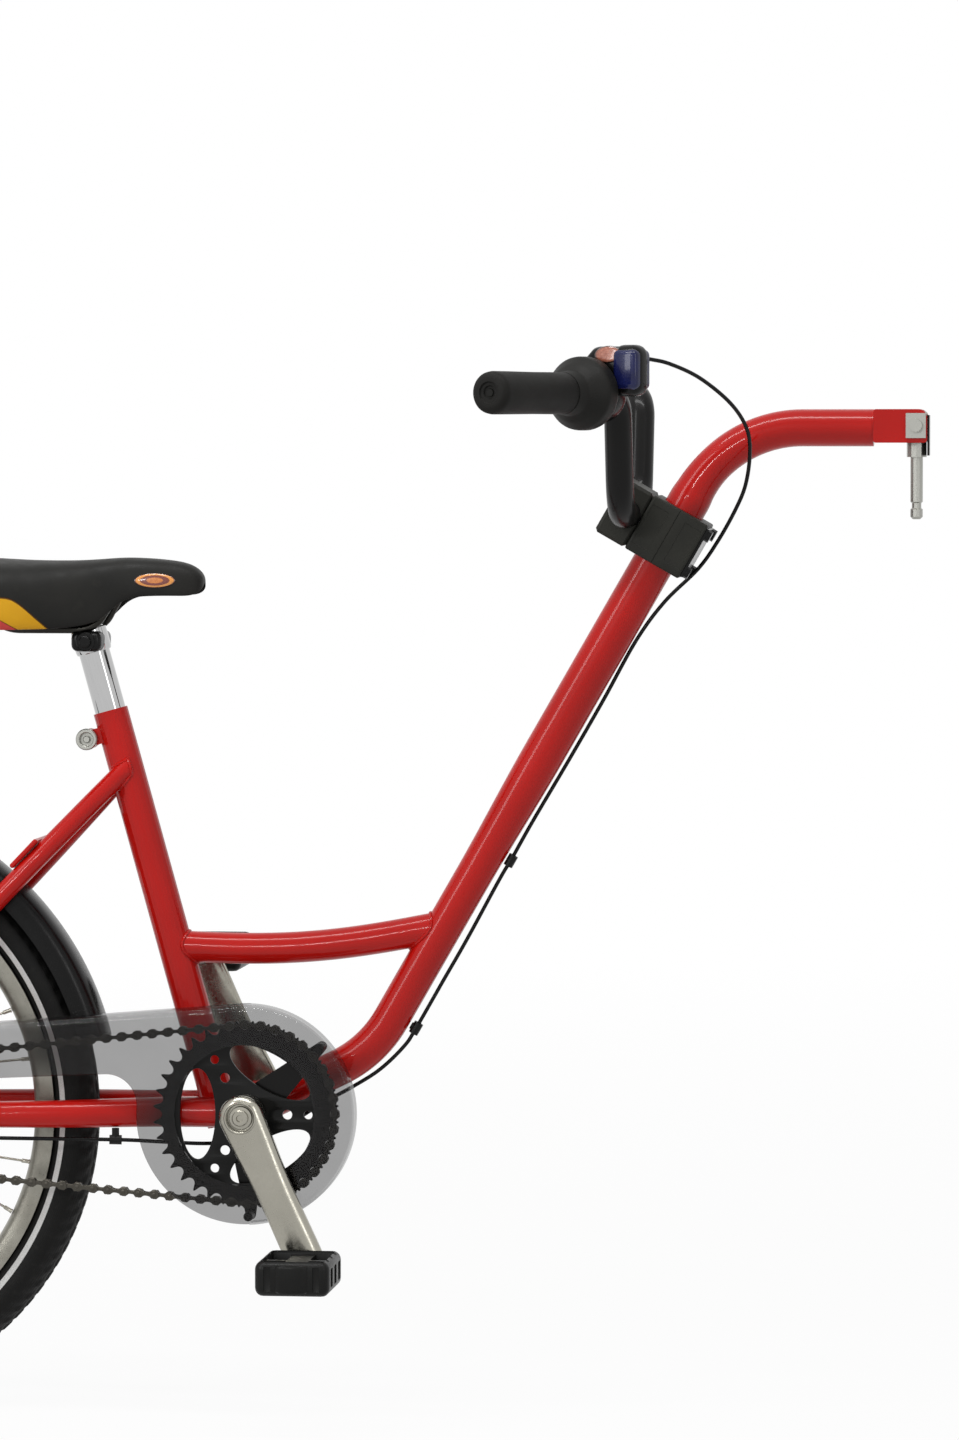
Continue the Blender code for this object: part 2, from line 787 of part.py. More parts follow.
def make_stays():
    plate_middle = dropout_inner + dropout_thickness / 2
    for side in (right, left):
        word = side_name[side]
        root = bracket_centre + side * chainstay_root_spread * Y
        reach = centre_distance
        route = [
            root,
            root - 0.070 * Vector((1, 0, 0)),
            root - 0.110 * Vector((1, 0, 0)) + side * 0.0075 * Y,
            root - 0.155 * Vector((1, 0, 0)) + side * 0.0165 * Y,
            root - 0.215 * Vector((1, 0, 0)) + side * 0.0215 * Y,
            axle_centre + 0.026 * Vector((1, 0, 0)) + side * chainstay_end_spread * Y,
        ]
        for index, spot in enumerate(route):
            share = (root.x - spot.x) / reach
            spot.z = root.z - axle_drop * share
        points = blended(route, 2)
        scale = chainstay_end_diameter / chainstay_root_diameter
        widths = [1 + (scale - 1) * min(1, (root.x - spot.x) / reach) ** 1.3 for spot in points]
        stay = as_mesh(tube(f"chainstay_{word}", points, chainstay_root_diameter, 12, widths))
        shell = across_drum(f"chainstay_cope_{word}", bracket_diameter / 2 + gap, 0.2, bracket_centre)
        plate = as_mesh(outline(f"dropout_{word}", [dropout_outline()], dropout_thickness))
        flat_in_side_view(plate, side * plate_middle)
        slot = block(f"axle_slot_{word}", (0.040, 0.03, axle_diameter + 2 * gap))
        slot.location = axle_centre + side * plate_middle * Y - 0.020 * Vector((1, 0, 0))
        seat = across_drum(f"axle_seat_{word}", axle_diameter / 2 + gap, 0.03, axle_centre + side * plate_middle * Y, 14)
        weld(stay, plate)
        keep(cut(stay, shell, slot, seat), "paint")

        stay = as_mesh(tube(f"seatstay_{word}", blended(seatstay_path(side), 2), seatstay_diameter, 10))
        column = drum(f"seatstay_cope_{word}", seat_tube_diameter / 2 + gap, 0.3, 24)
        aim(column, seat_top - seatstay_drop * seat_up, seat_up)
        plate = as_mesh(outline(f"dropout_slot_{word}", [dropout_outline(gap)], dropout_thickness + 2 * gap))
        flat_in_side_view(plate, side * plate_middle)
        middle_cut = block(f"stay_split_{word}", (0.1, 0.02 + gap, 0.1))
        middle_cut.location = seat_top - seatstay_drop * seat_up - side * 0.01 * Y
        keep(cut(stay, column, middle_cut, plate), "paint")

    # The bridge plate lies across both stays on their upper side
    lift = seatstay_diameter / 2 + gap + bridge_thickness / 2
    place = axle_centre + bridge_radius * seatstay_along + lift * seatstay_normal
    plate = block("stay_bridge", (bridge_length, 2 * seatstay_wide_spread + 0.8 * seatstay_diameter, bridge_thickness))
    plate.location = place
    plate.rotation_euler = (0, -seatstay_slope, 0)
    round_edges(plate, 0.0012, 1)
    hole = aim(drum("bridge_hole", bridge_screw_diameter / 2 + gap, 0.02, 12), place, seatstay_normal)
    keep(cut(plate, hole), "paint")


make_drawbar()
make_seat_tube()
make_brace()
make_bottom_bracket()
make_stays()


# The wheel, about its axle
def make_wheel():
    wheel = pivot("wheel_joint", axle_centre)
    half_width = tyre_width / 2
    seat, edge, inner = rim_seat_diameter / 2, rim_edge_diameter / 2, rim_inner_diameter / 2
    crown = wheel_diameter / 2

    # The tyre is a hollow casing with its beads in the rim's well
    bead, casing = 0.0105, 0.0035
    outside = [
        (seat + 0.0035, -bead),
        (edge + 0.0012, -bead - gap),
        (edge + 0.0040, -half_width * 0.74),
        ((crown + edge) / 2, -half_width),
        (crown - 0.0050, -half_width * 0.62),
        (crown, 0),
    ]
    inside = [(seat + 0.0035, -bead + casing), (crown - 2.4 * casing, -half_width * 0.66)]
    outside = outside + [(radius, -across) for radius, across in reversed(outside[:-1])]
    inside = inside + [(radius, -across) for radius, across in reversed(inside)]
    tyre = turned("tyre", list(reversed(outside)) + inside, wheel_steps, True)
    keep(aim(tyre, axle_centre, Y), "rubber", wheel)

    # The rim's box section, open between the hooks
    half = rim_width / 2
    wall = 0.0018
    rim_outside = [(edge, half), (seat, half), (inner + 0.004, half * 0.72), (inner, half * 0.35)]
    rim_outside += [(radius, -across) for radius, across in reversed(rim_outside)]
    well = [(edge, -half + wall), (seat - gap, -half + wall), (seat - 0.006, -bead * 0.5)]
    well += [(radius, -across) for radius, across in reversed(well)]
    rim = turned("rim", list(reversed(rim_outside + well)), wheel_steps, True)
    keep(aim(rim, axle_centre, Y), "alloy", wheel)

    # The hub shell with its flanges, and spokes that end under the rim
    flange, width = flange_diameter / 2, flange_spacing / 2
    thick, barrel = 0.0035, hub_diameter / 2
    bore = axle_diameter / 2 + gap
    shoulder = 0.010
    profile = [
        (barrel * 0.75, width + shoulder),
        (barrel, width + thick),
        (flange, width + thick / 2),
        (flange, width - thick / 2),
        (barrel, width - thick),
        (barrel, -width + thick),
        (flange, -width + thick / 2),
        (flange, -width - thick / 2),
        (barrel, -width - thick),
        (barrel * 0.75, -width - shoulder),
        (bore, -width - shoulder),
        (bore, width + shoulder),
    ]
    hub = turned("hub_with_spokes", profile, 16, True)
    aim(hub, axle_centre, Y)
    spokes = bmesh.new()
    reach_in = flange - 0.004
    reach_out = inner * cos(pi / wheel_steps) - 2 * gap
    turn_each = 2 * pi / spoke_count
    for number in range(spoke_count):
        side = 1 if number % 2 else -1
        trailing = 1 if (number // 2) % 2 else -1
        lead = trailing * spoke_lace
        elbow = width + trailing * spoke_elbow_offset
        outer_angle = number * turn_each
        inner_angle = outer_angle + lead
        start = Vector((reach_in * cos(inner_angle), reach_in * sin(inner_angle), side * elbow))
        end = Vector((reach_out * cos(outer_angle), reach_out * sin(outer_angle), side * spoke_rim_offset))
        line = end - start
        place = Matrix.Translation((start + end) / 2) @ line.to_track_quat("Z", "Y").to_matrix().to_4x4()
        bmesh.ops.create_cone(
            spokes,
            cap_ends=True,
            segments=3,
            radius1=spoke_diameter / 2,
            radius2=spoke_diameter / 2,
            depth=line.length,
            matrix=place,
        )
    mesh = bpy.data.meshes.new("spokes")
    spokes.to_mesh(mesh)
    spokes.free()
    lacing = aim(bpy.data.objects.new("spokes", mesh), axle_centre, Y)
    keep(weld(hub, lacing), "alloy", wheel)

    # The axle stays in the frame with its nuts, and the coaster brake's arm is held by the left stay
    axle = aim(drum("rear_axle", axle_diameter / 2, axle_length, 16), axle_centre, Y)
    keep(axle, "steel")
    for side in (right, left):
        across = side * (dropout_inner + dropout_thickness + gap + nut_height / 2)
        place = axle_centre + across * Y
        nut = across_drum(f"axle_nut_{side_name[side]}", axle_nut_diameter / 2, nut_height, place, 6)
        bore = across_drum(f"nut_bore_{side_name[side]}", axle_diameter / 2 + gap, 0.02, place, 16)
        keep(cut(nut, bore), "steel")
    arm_thickness = 0.003
    arm_across = coaster_arm_line
    tip = side_spot(axle_centre + Vector((coaster_arm_length, 0, -coaster_arm_fall)))
    arm = as_mesh(
        outline("coaster_arm", [rounded_hull([(side_spot(axle_centre), 0.017), (tip, 0.007)], 12)], arm_thickness)
    )
    flat_in_side_view(arm, arm_across)
    hole = across_drum("arm_hole", axle_diameter / 2 + gap, 0.02, axle_centre + arm_across * Y, 16)
    keep(cut(arm, hole), "steel")


# The drive, about the bottom bracket
def chain_pins():
    """The chain's pins along the line of centres: round the ring, back, round the sprocket, forward."""
    pins = []
    for k in range(ring_pins):
        angle = -ring_wrap + k * 2 * pi / ring_teeth
        pins.append(Vector((ring_radius * cos(angle), ring_radius * sin(angle))))
    rear = []
    for k in range(sprocket_pins):
        angle = pi - sprocket_wrap + k * 2 * pi / sprocket_teeth
        rear.append(Vector((sprocket_radius * cos(angle) - centre_distance, sprocket_radius * sin(angle))))
    top = [pins[-1].lerp(rear[0], k / run_links) for k in range(1, run_links)]
    bottom = [rear[-1].lerp(pins[0], k / run_links) for k in range(1, run_links)]
    return pins + top + rear + bottom


def make_chain():
    pins = chain_pins()
    count = len(pins)
    loops = {1: [], -1: []}
    bulge, waist = link_height / 2, link_waist / 2
    for index, pin in enumerate(pins):
        before, after = pins[index - 1], pins[(index + 1) % count]
        along = (after - before).normalized()
        out = Vector((along.y, -along.x))
        mid_along = (after - pin).normalized()
        mid_out = Vector((mid_along.y, -mid_along.x))
        for side, loop in loops.items():
            loop.append(pin + side * bulge * out)
            loop.append((pin + after) / 2 + side * waist * mid_out)
    plates = []
    for side in (right, left):
        shape = [[tuple(spot) for spot in loop] for loop in loops.values()]
        plate = as_mesh(outline(f"link_plates_{side_name[side]}", shape, link_plate), 50)
        plate.rotation_euler = (pi / 2, -centre_tilt, 0)
        plate.location = bracket_centre + (side * (link_inner_width + link_plate) / 2 - chain_line) * Y
        plates.append(plate)
    rollers = bmesh.new()
    for number, pin in enumerate(pins):
        bmesh.ops.create_cone(
            rollers,
            cap_ends=True,
            segments=4,
            radius1=roller_diameter / 2,
            radius2=roller_diameter / 2,
            depth=link_inner_width + link_plate,
            matrix=Matrix.Translation((pin.x, pin.y, 0)) @ Matrix.Rotation(roller_turn(number, pins), 4, "Z"),
        )
    mesh = bpy.data.meshes.new("rollers")
    rollers.to_mesh(mesh)
    rollers.free()
    barrels = bpy.data.objects.new("rollers", mesh)
    barrels.rotation_euler = (pi / 2, -centre_tilt, 0)
    barrels.location = bracket_centre - chain_line * Y
    chain = plates[0]
    chain.name = "chain"
    keep(weld(chain, plates[1], barrels), "black_metal")


def roller_turn(number, pins):
    """Turns a roller so that a flat of it faces along the chain."""
    before, after = pins[number - 1], pins[(number + 1) % len(pins)]
    along = after - before
    return atan2(along.y, along.x) + pi / 4


def tooth_ring(teeth, radius, start):
    """A sprocket's outline: a seat for each roller and a cut-off tooth between two seats."""
    seat = roller_diameter / 2 + tooth_seat_clearance
    step = 2 * pi / teeth
    points = []
    for number in range(teeth):
        angle = start + number * step
        centre = Vector((radius * cos(angle), radius * sin(angle)))
        for turn in (44, -44):
            direction = angle + pi + radians(turn)
            points.append(tuple(centre + seat * Vector((cos(direction), sin(direction)))))
        tip = radius + tooth_rise
        middle = angle + step / 2
        spread = 0.0011 / tip
        for turn in (middle - spread, middle + spread):
            points.append((tip * cos(turn), tip * sin(turn)))
    return points


def make_chainring(crank):
    loops = [tooth_ring(ring_teeth, ring_radius, centre_tilt)]
    loops.append(circle(crank_spigot_diameter / 2 + gap, 18))
    for number in range(3):
        middle = pi + number * 2 * pi / 3
        out = Vector((cos(middle), sin(middle)))
        along = Vector((-sin(middle), cos(middle)))
        window = [
            out * (window_centre + window_height / 2 * x) + along * (window_length / 2 * y)
            for x, y in circle(1.0, 12)
        ]
        loops.append([tuple(spot) for spot in window])
        arm = middle + pi / 3
        for reach, size in ((arm_hole_inner, arm_hole_diameter), (arm_hole_outer, arm_hole_diameter * 0.9)):
            loops.append(circle(size / 2, 8, (reach * cos(arm), reach * sin(arm))))
    ring = as_mesh(outline("chainring", loops, tooth_thickness), 30)
    ring.rotation_euler = (pi / 2, 0, 0)
    ring.location = bracket_centre - chain_line * Y
    keep(ring, "black_metal", crank)


def crank_direction(side):
    angle = crank_angle if side == right else crank_angle + pi
    return Vector((cos(angle), 0, sin(angle)))


def make_cranks():
    crank = pivot("crank_joint", bracket_centre)
    spindle_half = crank_face - 0.0035
    half = bracket_width / 2 + 0.001
    body, square = spindle_diameter / 2, square_diameter / 2
    head, head_depth = 0.0085, 0.0030
    profile = [
        (0, spindle_half),
        (head, spindle_half),
        (head, spindle_half - head_depth),
        (square, spindle_half - head_depth),
        (square, half),
        (body, half - 0.002),
        (body, -half + 0.002),
        (square, -half),
        (square, -spindle_half + head_depth),
        (head, -spindle_half + head_depth),
        (head, -spindle_half),
        (0, -spindle_half),
    ]
    keep(aim(turned("crank_spindle", profile, 12), bracket_centre, Y), "steel", crank)
    make_chainring(crank)

    for side in (right, left):
        word = side_name[side]
        direction = crank_direction(side)
        angle = atan2(direction.z, direction.x)
        eye = (crank_length * cos(angle), crank_length * sin(angle))
        arm = as_mesh(
            outline(
                f"crank_{word}",
                [
                    rounded_hull(
                        [((0, 0), crank_boss_diameter / 2), (eye, crank_eye_diameter / 2)], 16
                    )
                ],
                crank_thickness,
            )
        )
        round_edges(arm, 0.0025, 1, 60)
        arm.rotation_euler = (pi / 2, 0, 0)
        middle = bracket_centre + side * (crank_face - crank_thickness / 2) * Y
        arm.location = middle
        inner_face = crank_face - crank_thickness
        shoulder, spigot = crank_shoulder_diameter / 2, crank_spigot_diameter / 2
        step = chain_line + tooth_thickness / 2 + gap
        profile = [(0, inner_face + 0.002), (shoulder, inner_face + 0.002)]
        if side == right:
            profile += [(shoulder, step), (spigot, step), (spigot, spigot_end)]
        else:
            profile += [(shoulder, spigot_end)]
        profile.append((0, spigot_end))
        boss = turned(f"crank_boss_{word}", profile, 16)
        aim(boss, bracket_centre, side * Y)
        bore = across_drum(f"crank_bore_{word}", square_diameter / 2 + gap, 0.05, middle - side * 0.012 * Y, 14)
        recess_depth = 0.0070
        recess = across_drum(
            f"crank_recess_{word}", 0.0115, 2 * recess_depth, bracket_centre + side * crank_face * Y, 18
        )
        hole = across_drum(
            f"pedal_bore_{word}",
            pedal_axle_diameter / 2 + gap,
            0.05,
            middle + crank_length * direction,
            16,
        )
        weld(arm, boss)
        cut(arm, bore, recess, hole)
        keep(arm, "alloy", crank)
        make_pedal(side, crank)


def make_pedal(side, crank):
    word = side_name[side]
    eye = bracket_centre + crank_length * crank_direction(side)
    start = crank_face - crank_thickness
    cage_start = crank_face + pedal_gap
    centre = eye + side * (cage_start + pedal_width / 2) * Y
    pedal = pivot(f"pedal_{word}_joint", eye, crank)

    # The axle is screwed into the crank, so it turns with it
    radius = pedal_axle_diameter / 2
    thin = radius * 0.70
    profile = [
        (0, cage_start + pedal_width - pedal_wall - 0.001),
        (thin, cage_start + pedal_width - pedal_wall - 0.001),
        (thin, crank_face + 0.004),
        (radius * 1.25, crank_face + 0.004),
        (radius * 1.25, crank_face + gap),
        (radius, crank_face + gap),
        (radius, start),
        (0, start),
    ]
    keep(aim(turned(f"pedal_axle_{word}", profile, 12), Vector((eye.x, 0, eye.z)), side * Y), "steel", crank)

    # The cage: a tread frame on a barrel, with slots through it
    cage = block(f"pedal_{word}", (pedal_length, pedal_width, pedal_height))
    cage.location = centre
    round_edges(cage, 0.003, 1)
    window_length = (pedal_length - 2 * pedal_wall - pedal_barrel_diameter) / 2
    window_width = (pedal_width - 3 * pedal_wall) / 2
    for ahead in (-1, 1):
        for across in (-1, 1):
            window = block(f"window_{word}_{ahead}_{across}", (window_length, window_width, 2 * pedal_height))
            shift = Vector(
                (
                    ahead * (pedal_barrel_diameter + window_length) / 2,
                    across * (window_width + pedal_wall) / 2,
                    0,
                )
            )
            window.location = centre + shift
            cut(cage, window)
    for up in (-1, 1):
        lid = block(f"lid_{word}_{up}", (pedal_length - 2 * pedal_wall, pedal_width - 2 * pedal_wall, 0.010))
        lid.location = centre + Vector((0, 0, up * (pedal_height / 2 + 0.001)))
        cut(cage, lid)
    bore = across_drum(
        f"pedal_barrel_bore_{word}", thin + gap, pedal_width, centre - side * pedal_wall * Y, 16
    )
    keep(cut(cage, bore), "black", pedal)


def make_sprocket():
    driver = pivot("sprocket_joint", axle_centre)
    teeth = tooth_ring(sprocket_teeth, sprocket_radius, pi + centre_tilt)
    plate = as_mesh(outline("rear_sprocket", [teeth], tooth_thickness), 30)
    plate.rotation_euler = (pi / 2, 0, 0)
    plate.location = axle_centre - chain_line * Y
    collar = across_drum("sprocket_collar", sprocket_collar_diameter / 2, sprocket_collar_width, plate.location, 18)
    bore = across_drum("sprocket_bore", axle_diameter / 2 + sprocket_running_gap, 0.03, plate.location, 16)
    keep(cut(weld(plate, collar), bore), "steel", driver)


make_wheel()
make_chain()
make_cranks()
make_sprocket()



# The chain guard, in front of the chain on the right
def guard_outline(inset=0.0):
    """A disc round the bottom bracket, drawn out to the rear over the chain's upper run."""
    centre = Vector(side_spot(bracket_centre))
    tail = Vector(side_spot(guard_tail))
    radius, tail_radius, neck = guard_radius - inset, guard_tail_radius - inset, guard_neck_radius + inset
    between = centre - tail
    top = atan2(between.y, between.x) + acos((tail_radius - radius) / between.length)
    below = guard_lower_slope - pi / 2
    down = Vector((cos(below), sin(below)))
    forward = Vector((-down.y, down.x))

    # The neck's fillet touches the lower edge from below and the disc from outside
    offset = (tail_radius + neck) * down + tail - centre
    ahead = offset.dot(forward)
    reach = sqrt((radius + neck) ** 2 - offset.length**2 + ahead**2)
    fillet = centre + offset - (ahead + reach) * forward
    angle = atan2(fillet.y - centre.y, fillet.x - centre.x)
    points = circle(radius, 26, centre, top, angle % (2 * pi) - top - 2 * pi)[:-1]
    points += circle(neck, 5, fillet, angle + pi, (below - angle) % (2 * pi))
    points += circle(tail_radius, 7, tail, below, top - 2 * pi - below)
    return points


def make_guard():
    depth = guard_skirt + guard_thickness
    shell = as_mesh(outline("chain_guard", [guard_outline()], depth))
    round_edges(shell, guard_edge, 1, 60)
    front = guard_line + guard_thickness
    flat_in_side_view(shell, -(front - depth / 2))
    pocket = as_mesh(outline("guard_pocket", [guard_outline(guard_thickness)], depth))
    flat_in_side_view(pocket, -(guard_line - depth / 2))
    opening = across_drum("guard_opening", guard_opening_radius, 0.05, bracket_centre - front * Y, 28)

    # There is no skirt where the chain runs out, below the disc's rear half and at the tail
    middle, low = side_spot(bracket_centre)
    tail_x, tail_z = side_spot(guard_tail)
    far = 3 * guard_radius
    corners = [
        (middle + 0.004, low - far),
        (middle + 0.004, low),
        (middle - 0.6 * guard_radius, low + 0.35 * guard_radius),
        (tail_x + 2 * guard_tail_radius, tail_z - 0.002),
        (tail_x, tail_z + 0.4 * guard_tail_radius),
        (tail_x - far, tail_z + 0.4 * guard_tail_radius),
        (tail_x - far, low - far),
    ]
    skirt_cut = as_mesh(outline("skirt_cut", [corners], depth))
    flat_in_side_view(skirt_cut, -(guard_line - guard_lip - depth / 2))
    keep(cut(shell, pocket, opening, skirt_cut), "smoke")


def make_guard_bracket():
    """A sheet bracket on the right bearing cup, with two posts that carry the guard."""
    plate_across = bracket_width / 2 + cup_flange + gap + bracket_plate_thickness / 2
    middle = Vector(side_spot(bracket_centre))
    plates, posts = [], []
    for number, angle in enumerate(bracket_arm_angles):
        tip = middle + bracket_post_reach * Vector((cos(angle), sin(angle)))
        share = 1 - 0.06 * number
        hull = [(tuple(middle), bracket_plate_radius * share), (tuple(tip), bracket_post_radius)]
        thickness = bracket_plate_thickness * share
        plate = as_mesh(outline(f"bracket_plate_{number}", [rounded_hull(hull, 14)], thickness))
        plates.append(flat_in_side_view(plate, -plate_across))
        inner = plate_across - bracket_plate_thickness / 4
        outer = guard_line - gap
        post = across_drum(
            f"bracket_post_{number}",
            bracket_post_radius * 0.93,
            outer - inner,
            Vector((tip.x, -(outer + inner) / 2, tip.y)),
            10,
        )
        posts.append(post)
    bracket = plates[0]
    bracket.name = "guard_bracket"
    bore = across_drum("bracket_bore", spindle_diameter / 2 + gap, 0.02, bracket_centre - plate_across * Y, 14)
    keep(cut(weld(bracket, plates[1], *posts), bore), "black_metal")


# The handlebar and its clamp on the drawbar
def clamp_block(name, back_from, back_to, width=None, length=None):
    """A block across the drawbar's axis; distances run from that axis towards the rear."""
    size = (back_to - back_from, width or clamp_width, length or clamp_length)
    thing = block(name, size)
    thing.rotation_euler = (0, pi / 2 - drawbar_slope, 0)
    thing.location = clamp_centre + (back_from + back_to) / 2 * drawbar_back
    return thing


def make_clamp():
    slide = pivot("clamp_joint", clamp_centre)
    bar_bore = across_drum("bar_bore", bar_diameter / 2 + gap, 0.1, bar_centre, 20)
    throat_depth = bar_offset - clamp_middle + gap
    throat = clamp_block("bar_throat", bar_offset - throat_depth, bar_offset, 0.1, clamp_throat)
    tube_bore = aim(drum("drawbar_bore", drawbar_swell / 2 + gap, 0.1, 20), clamp_centre, drawbar_along)
    holes, shanks = [], []
    plate_back = -clamp_front - gap
    head_back = plate_back - clamp_plate / 2
    bolt_end = clamp_middle + clamp_rear - 0.006
    for up in (-1, 1):
        for side in (right, left):
            spot = clamp_centre + up * clamp_bolt_rise * drawbar_along + side * clamp_bolt_spread * Y
            for store, name, radius, start, end in (
                (holes, "hole", clamp_screw_diameter / 2 + gap, -0.05, bolt_end + gap),
                (shanks, "shank", clamp_screw_diameter / 2, head_back + hair, bolt_end),
                (shanks, "head", clamp_screw_diameter * 0.83, head_back - clamp_screw_head, head_back),
            ):
                rod = drum(f"screw_{name}_{up}_{side}", radius, end - start, 8)
                store.append(aim(rod, spot + (start + end) / 2 * drawbar_back, drawbar_back))
    pieces = (
        ("clamp_rear", clamp_middle + gap / 2, clamp_middle + clamp_rear, (bar_bore, throat)),
        ("clamp_middle", gap / 2, clamp_middle - gap / 2, (tube_bore,)),
        ("clamp_front", -clamp_front, -gap / 2, (tube_bore,)),
    )
    for name, start, end, tools in pieces:
        piece = clamp_block(name, start, end)
        round_edges(piece, clamp_edge, 1)
        keep(cut(piece, *tools, *holes), "black", slide)
    width, length = clamp_width - 2 * clamp_edge, clamp_length - 2 * clamp_edge
    plate = clamp_block("clamp_screws", plate_back - clamp_plate, plate_back, width, length)
    keep(weld(plate, *shanks), "steel", slide)
    return slide


def bar_corners(side):
    """The bar's lower corner, upper corner and end on one side."""
    lower = bar_centre + side * bar_corner_spread * Y
    upper = bar_centre + side * bar_top_spread * Y + bar_rise * Z
    end = bar_centre + side * bar_end_spread * Y + bar_rise * Z - bar_end_sweep * Vector((1, 0, 0))
    return lower, upper, end


def make_handlebar(slide):
    tilt = pivot("handlebar_joint", bar_centre, slide)
    lower_r, upper_r, end_r = bar_corners(right)
    lower_l, upper_l, end_l = bar_corners(left)
    path = filleted(
        [end_r, upper_r, lower_r, lower_l, upper_l, end_l],
        (bar_upper_bend, bar_lower_bend, bar_lower_bend, bar_upper_bend),
        4,
    )
    keep(tube("handlebar", path, bar_diameter, 12), "black_metal", tilt)
    bore = bar_diameter / 2 + grip_clearance
    radius = grip_diameter / 2
    for side, length in ((right, grip_length), (left, left_grip_length)):
        lower, upper, end = bar_corners(side)
        out = (end - upper).normalized()
        profile = [
            (0, 0.0045),
            (radius * 0.70, 0.0045),
            (radius, 0.0005),
            (radius, -0.012),
            (radius * 0.93, -0.016),
            (radius * 0.93, -length + 0.008),
            (radius, -length + 0.004),
            (radius, -length),
            (bore, -length),
            (bore, gap),
            (0, gap),
        ]
        keep(aim(turned(f"grip_{side_name[side]}", profile, 16), end, out), "rubber", tilt)

    # The gear shifter: a sleeve that twists, and a housing that is clamped to the bar
    lower, upper, end = bar_corners(right)
    out = (end - upper).normalized()
    twist_start = grip_length + gap
    centre = end - (twist_start + twist_length / 2) * out
    twist = pivot("twist_joint", centre, tilt)
    half, full = twist_length / 2, twist_diameter / 2
    profile = [
        (radius * 1.04, half),
        (radius * 1.10, half * 0.42),
        (full * 0.84, half * 0.10),
        (full, -half * 0.25),
        (full, -half * 0.80),
        (full * 0.93, -half),
        (bore, -half),
        (bore, half),
    ]
    keep(aim(turned("twist_grip", profile, 18, True), centre, out), "rubber", twist)
    middle = end - (twist_start + twist_length + gap + housing_length / 2) * out
    housing = drum("shifter_housing", housing_diameter / 2, housing_length, 16)
    aim(housing, middle, out)
    box = block("display_box_solid", display_box, edge=0.006)
    ahead = Vector((-out.y, out.x, 0))
    box.location = middle + display_ahead * ahead + display_rise * Z
    box.rotation_euler = (0, 0, atan2(ahead.y, ahead.x))
    boss_start = Vector(box.location) + display_box[0] / 4 * ahead
    boss_end = Vector(cable_loop_route[0])
    boss_end -= 0.4 * adjuster_diameter / 2 * (boss_end - boss_start).normalized()
    boss = drum("cable_boss", adjuster_diameter / 2, (boss_end - boss_start).length, 10)
    aim(boss, (boss_start + boss_end) / 2, boss_end - boss_start)
    bore_tool = aim(drum("housing_bore", bore, 0.2, 18), middle, out)
    weld(housing, box, boss)
    keep(cut(housing, bore_tool), "black", tilt)


# The hitch on the drawbar's end
def side_box(name, back, front, low, high, radii, width):
    """A box across the bike whose side view has its own radius at each corner."""
    rear_top, front_top, front_low, rear_low = radii
    shape = rounded_hull(
        [
            ((-back + rear_top, high - rear_top), rear_top),
            ((front - front_top, high - front_top), front_top),
            ((front - front_low, low + front_low), front_low),
            ((-back + rear_low, low + rear_low), rear_low),
        ],
        16,
    )
    return flat_in_side_view(as_mesh(outline(name, [shape], width)), 0)


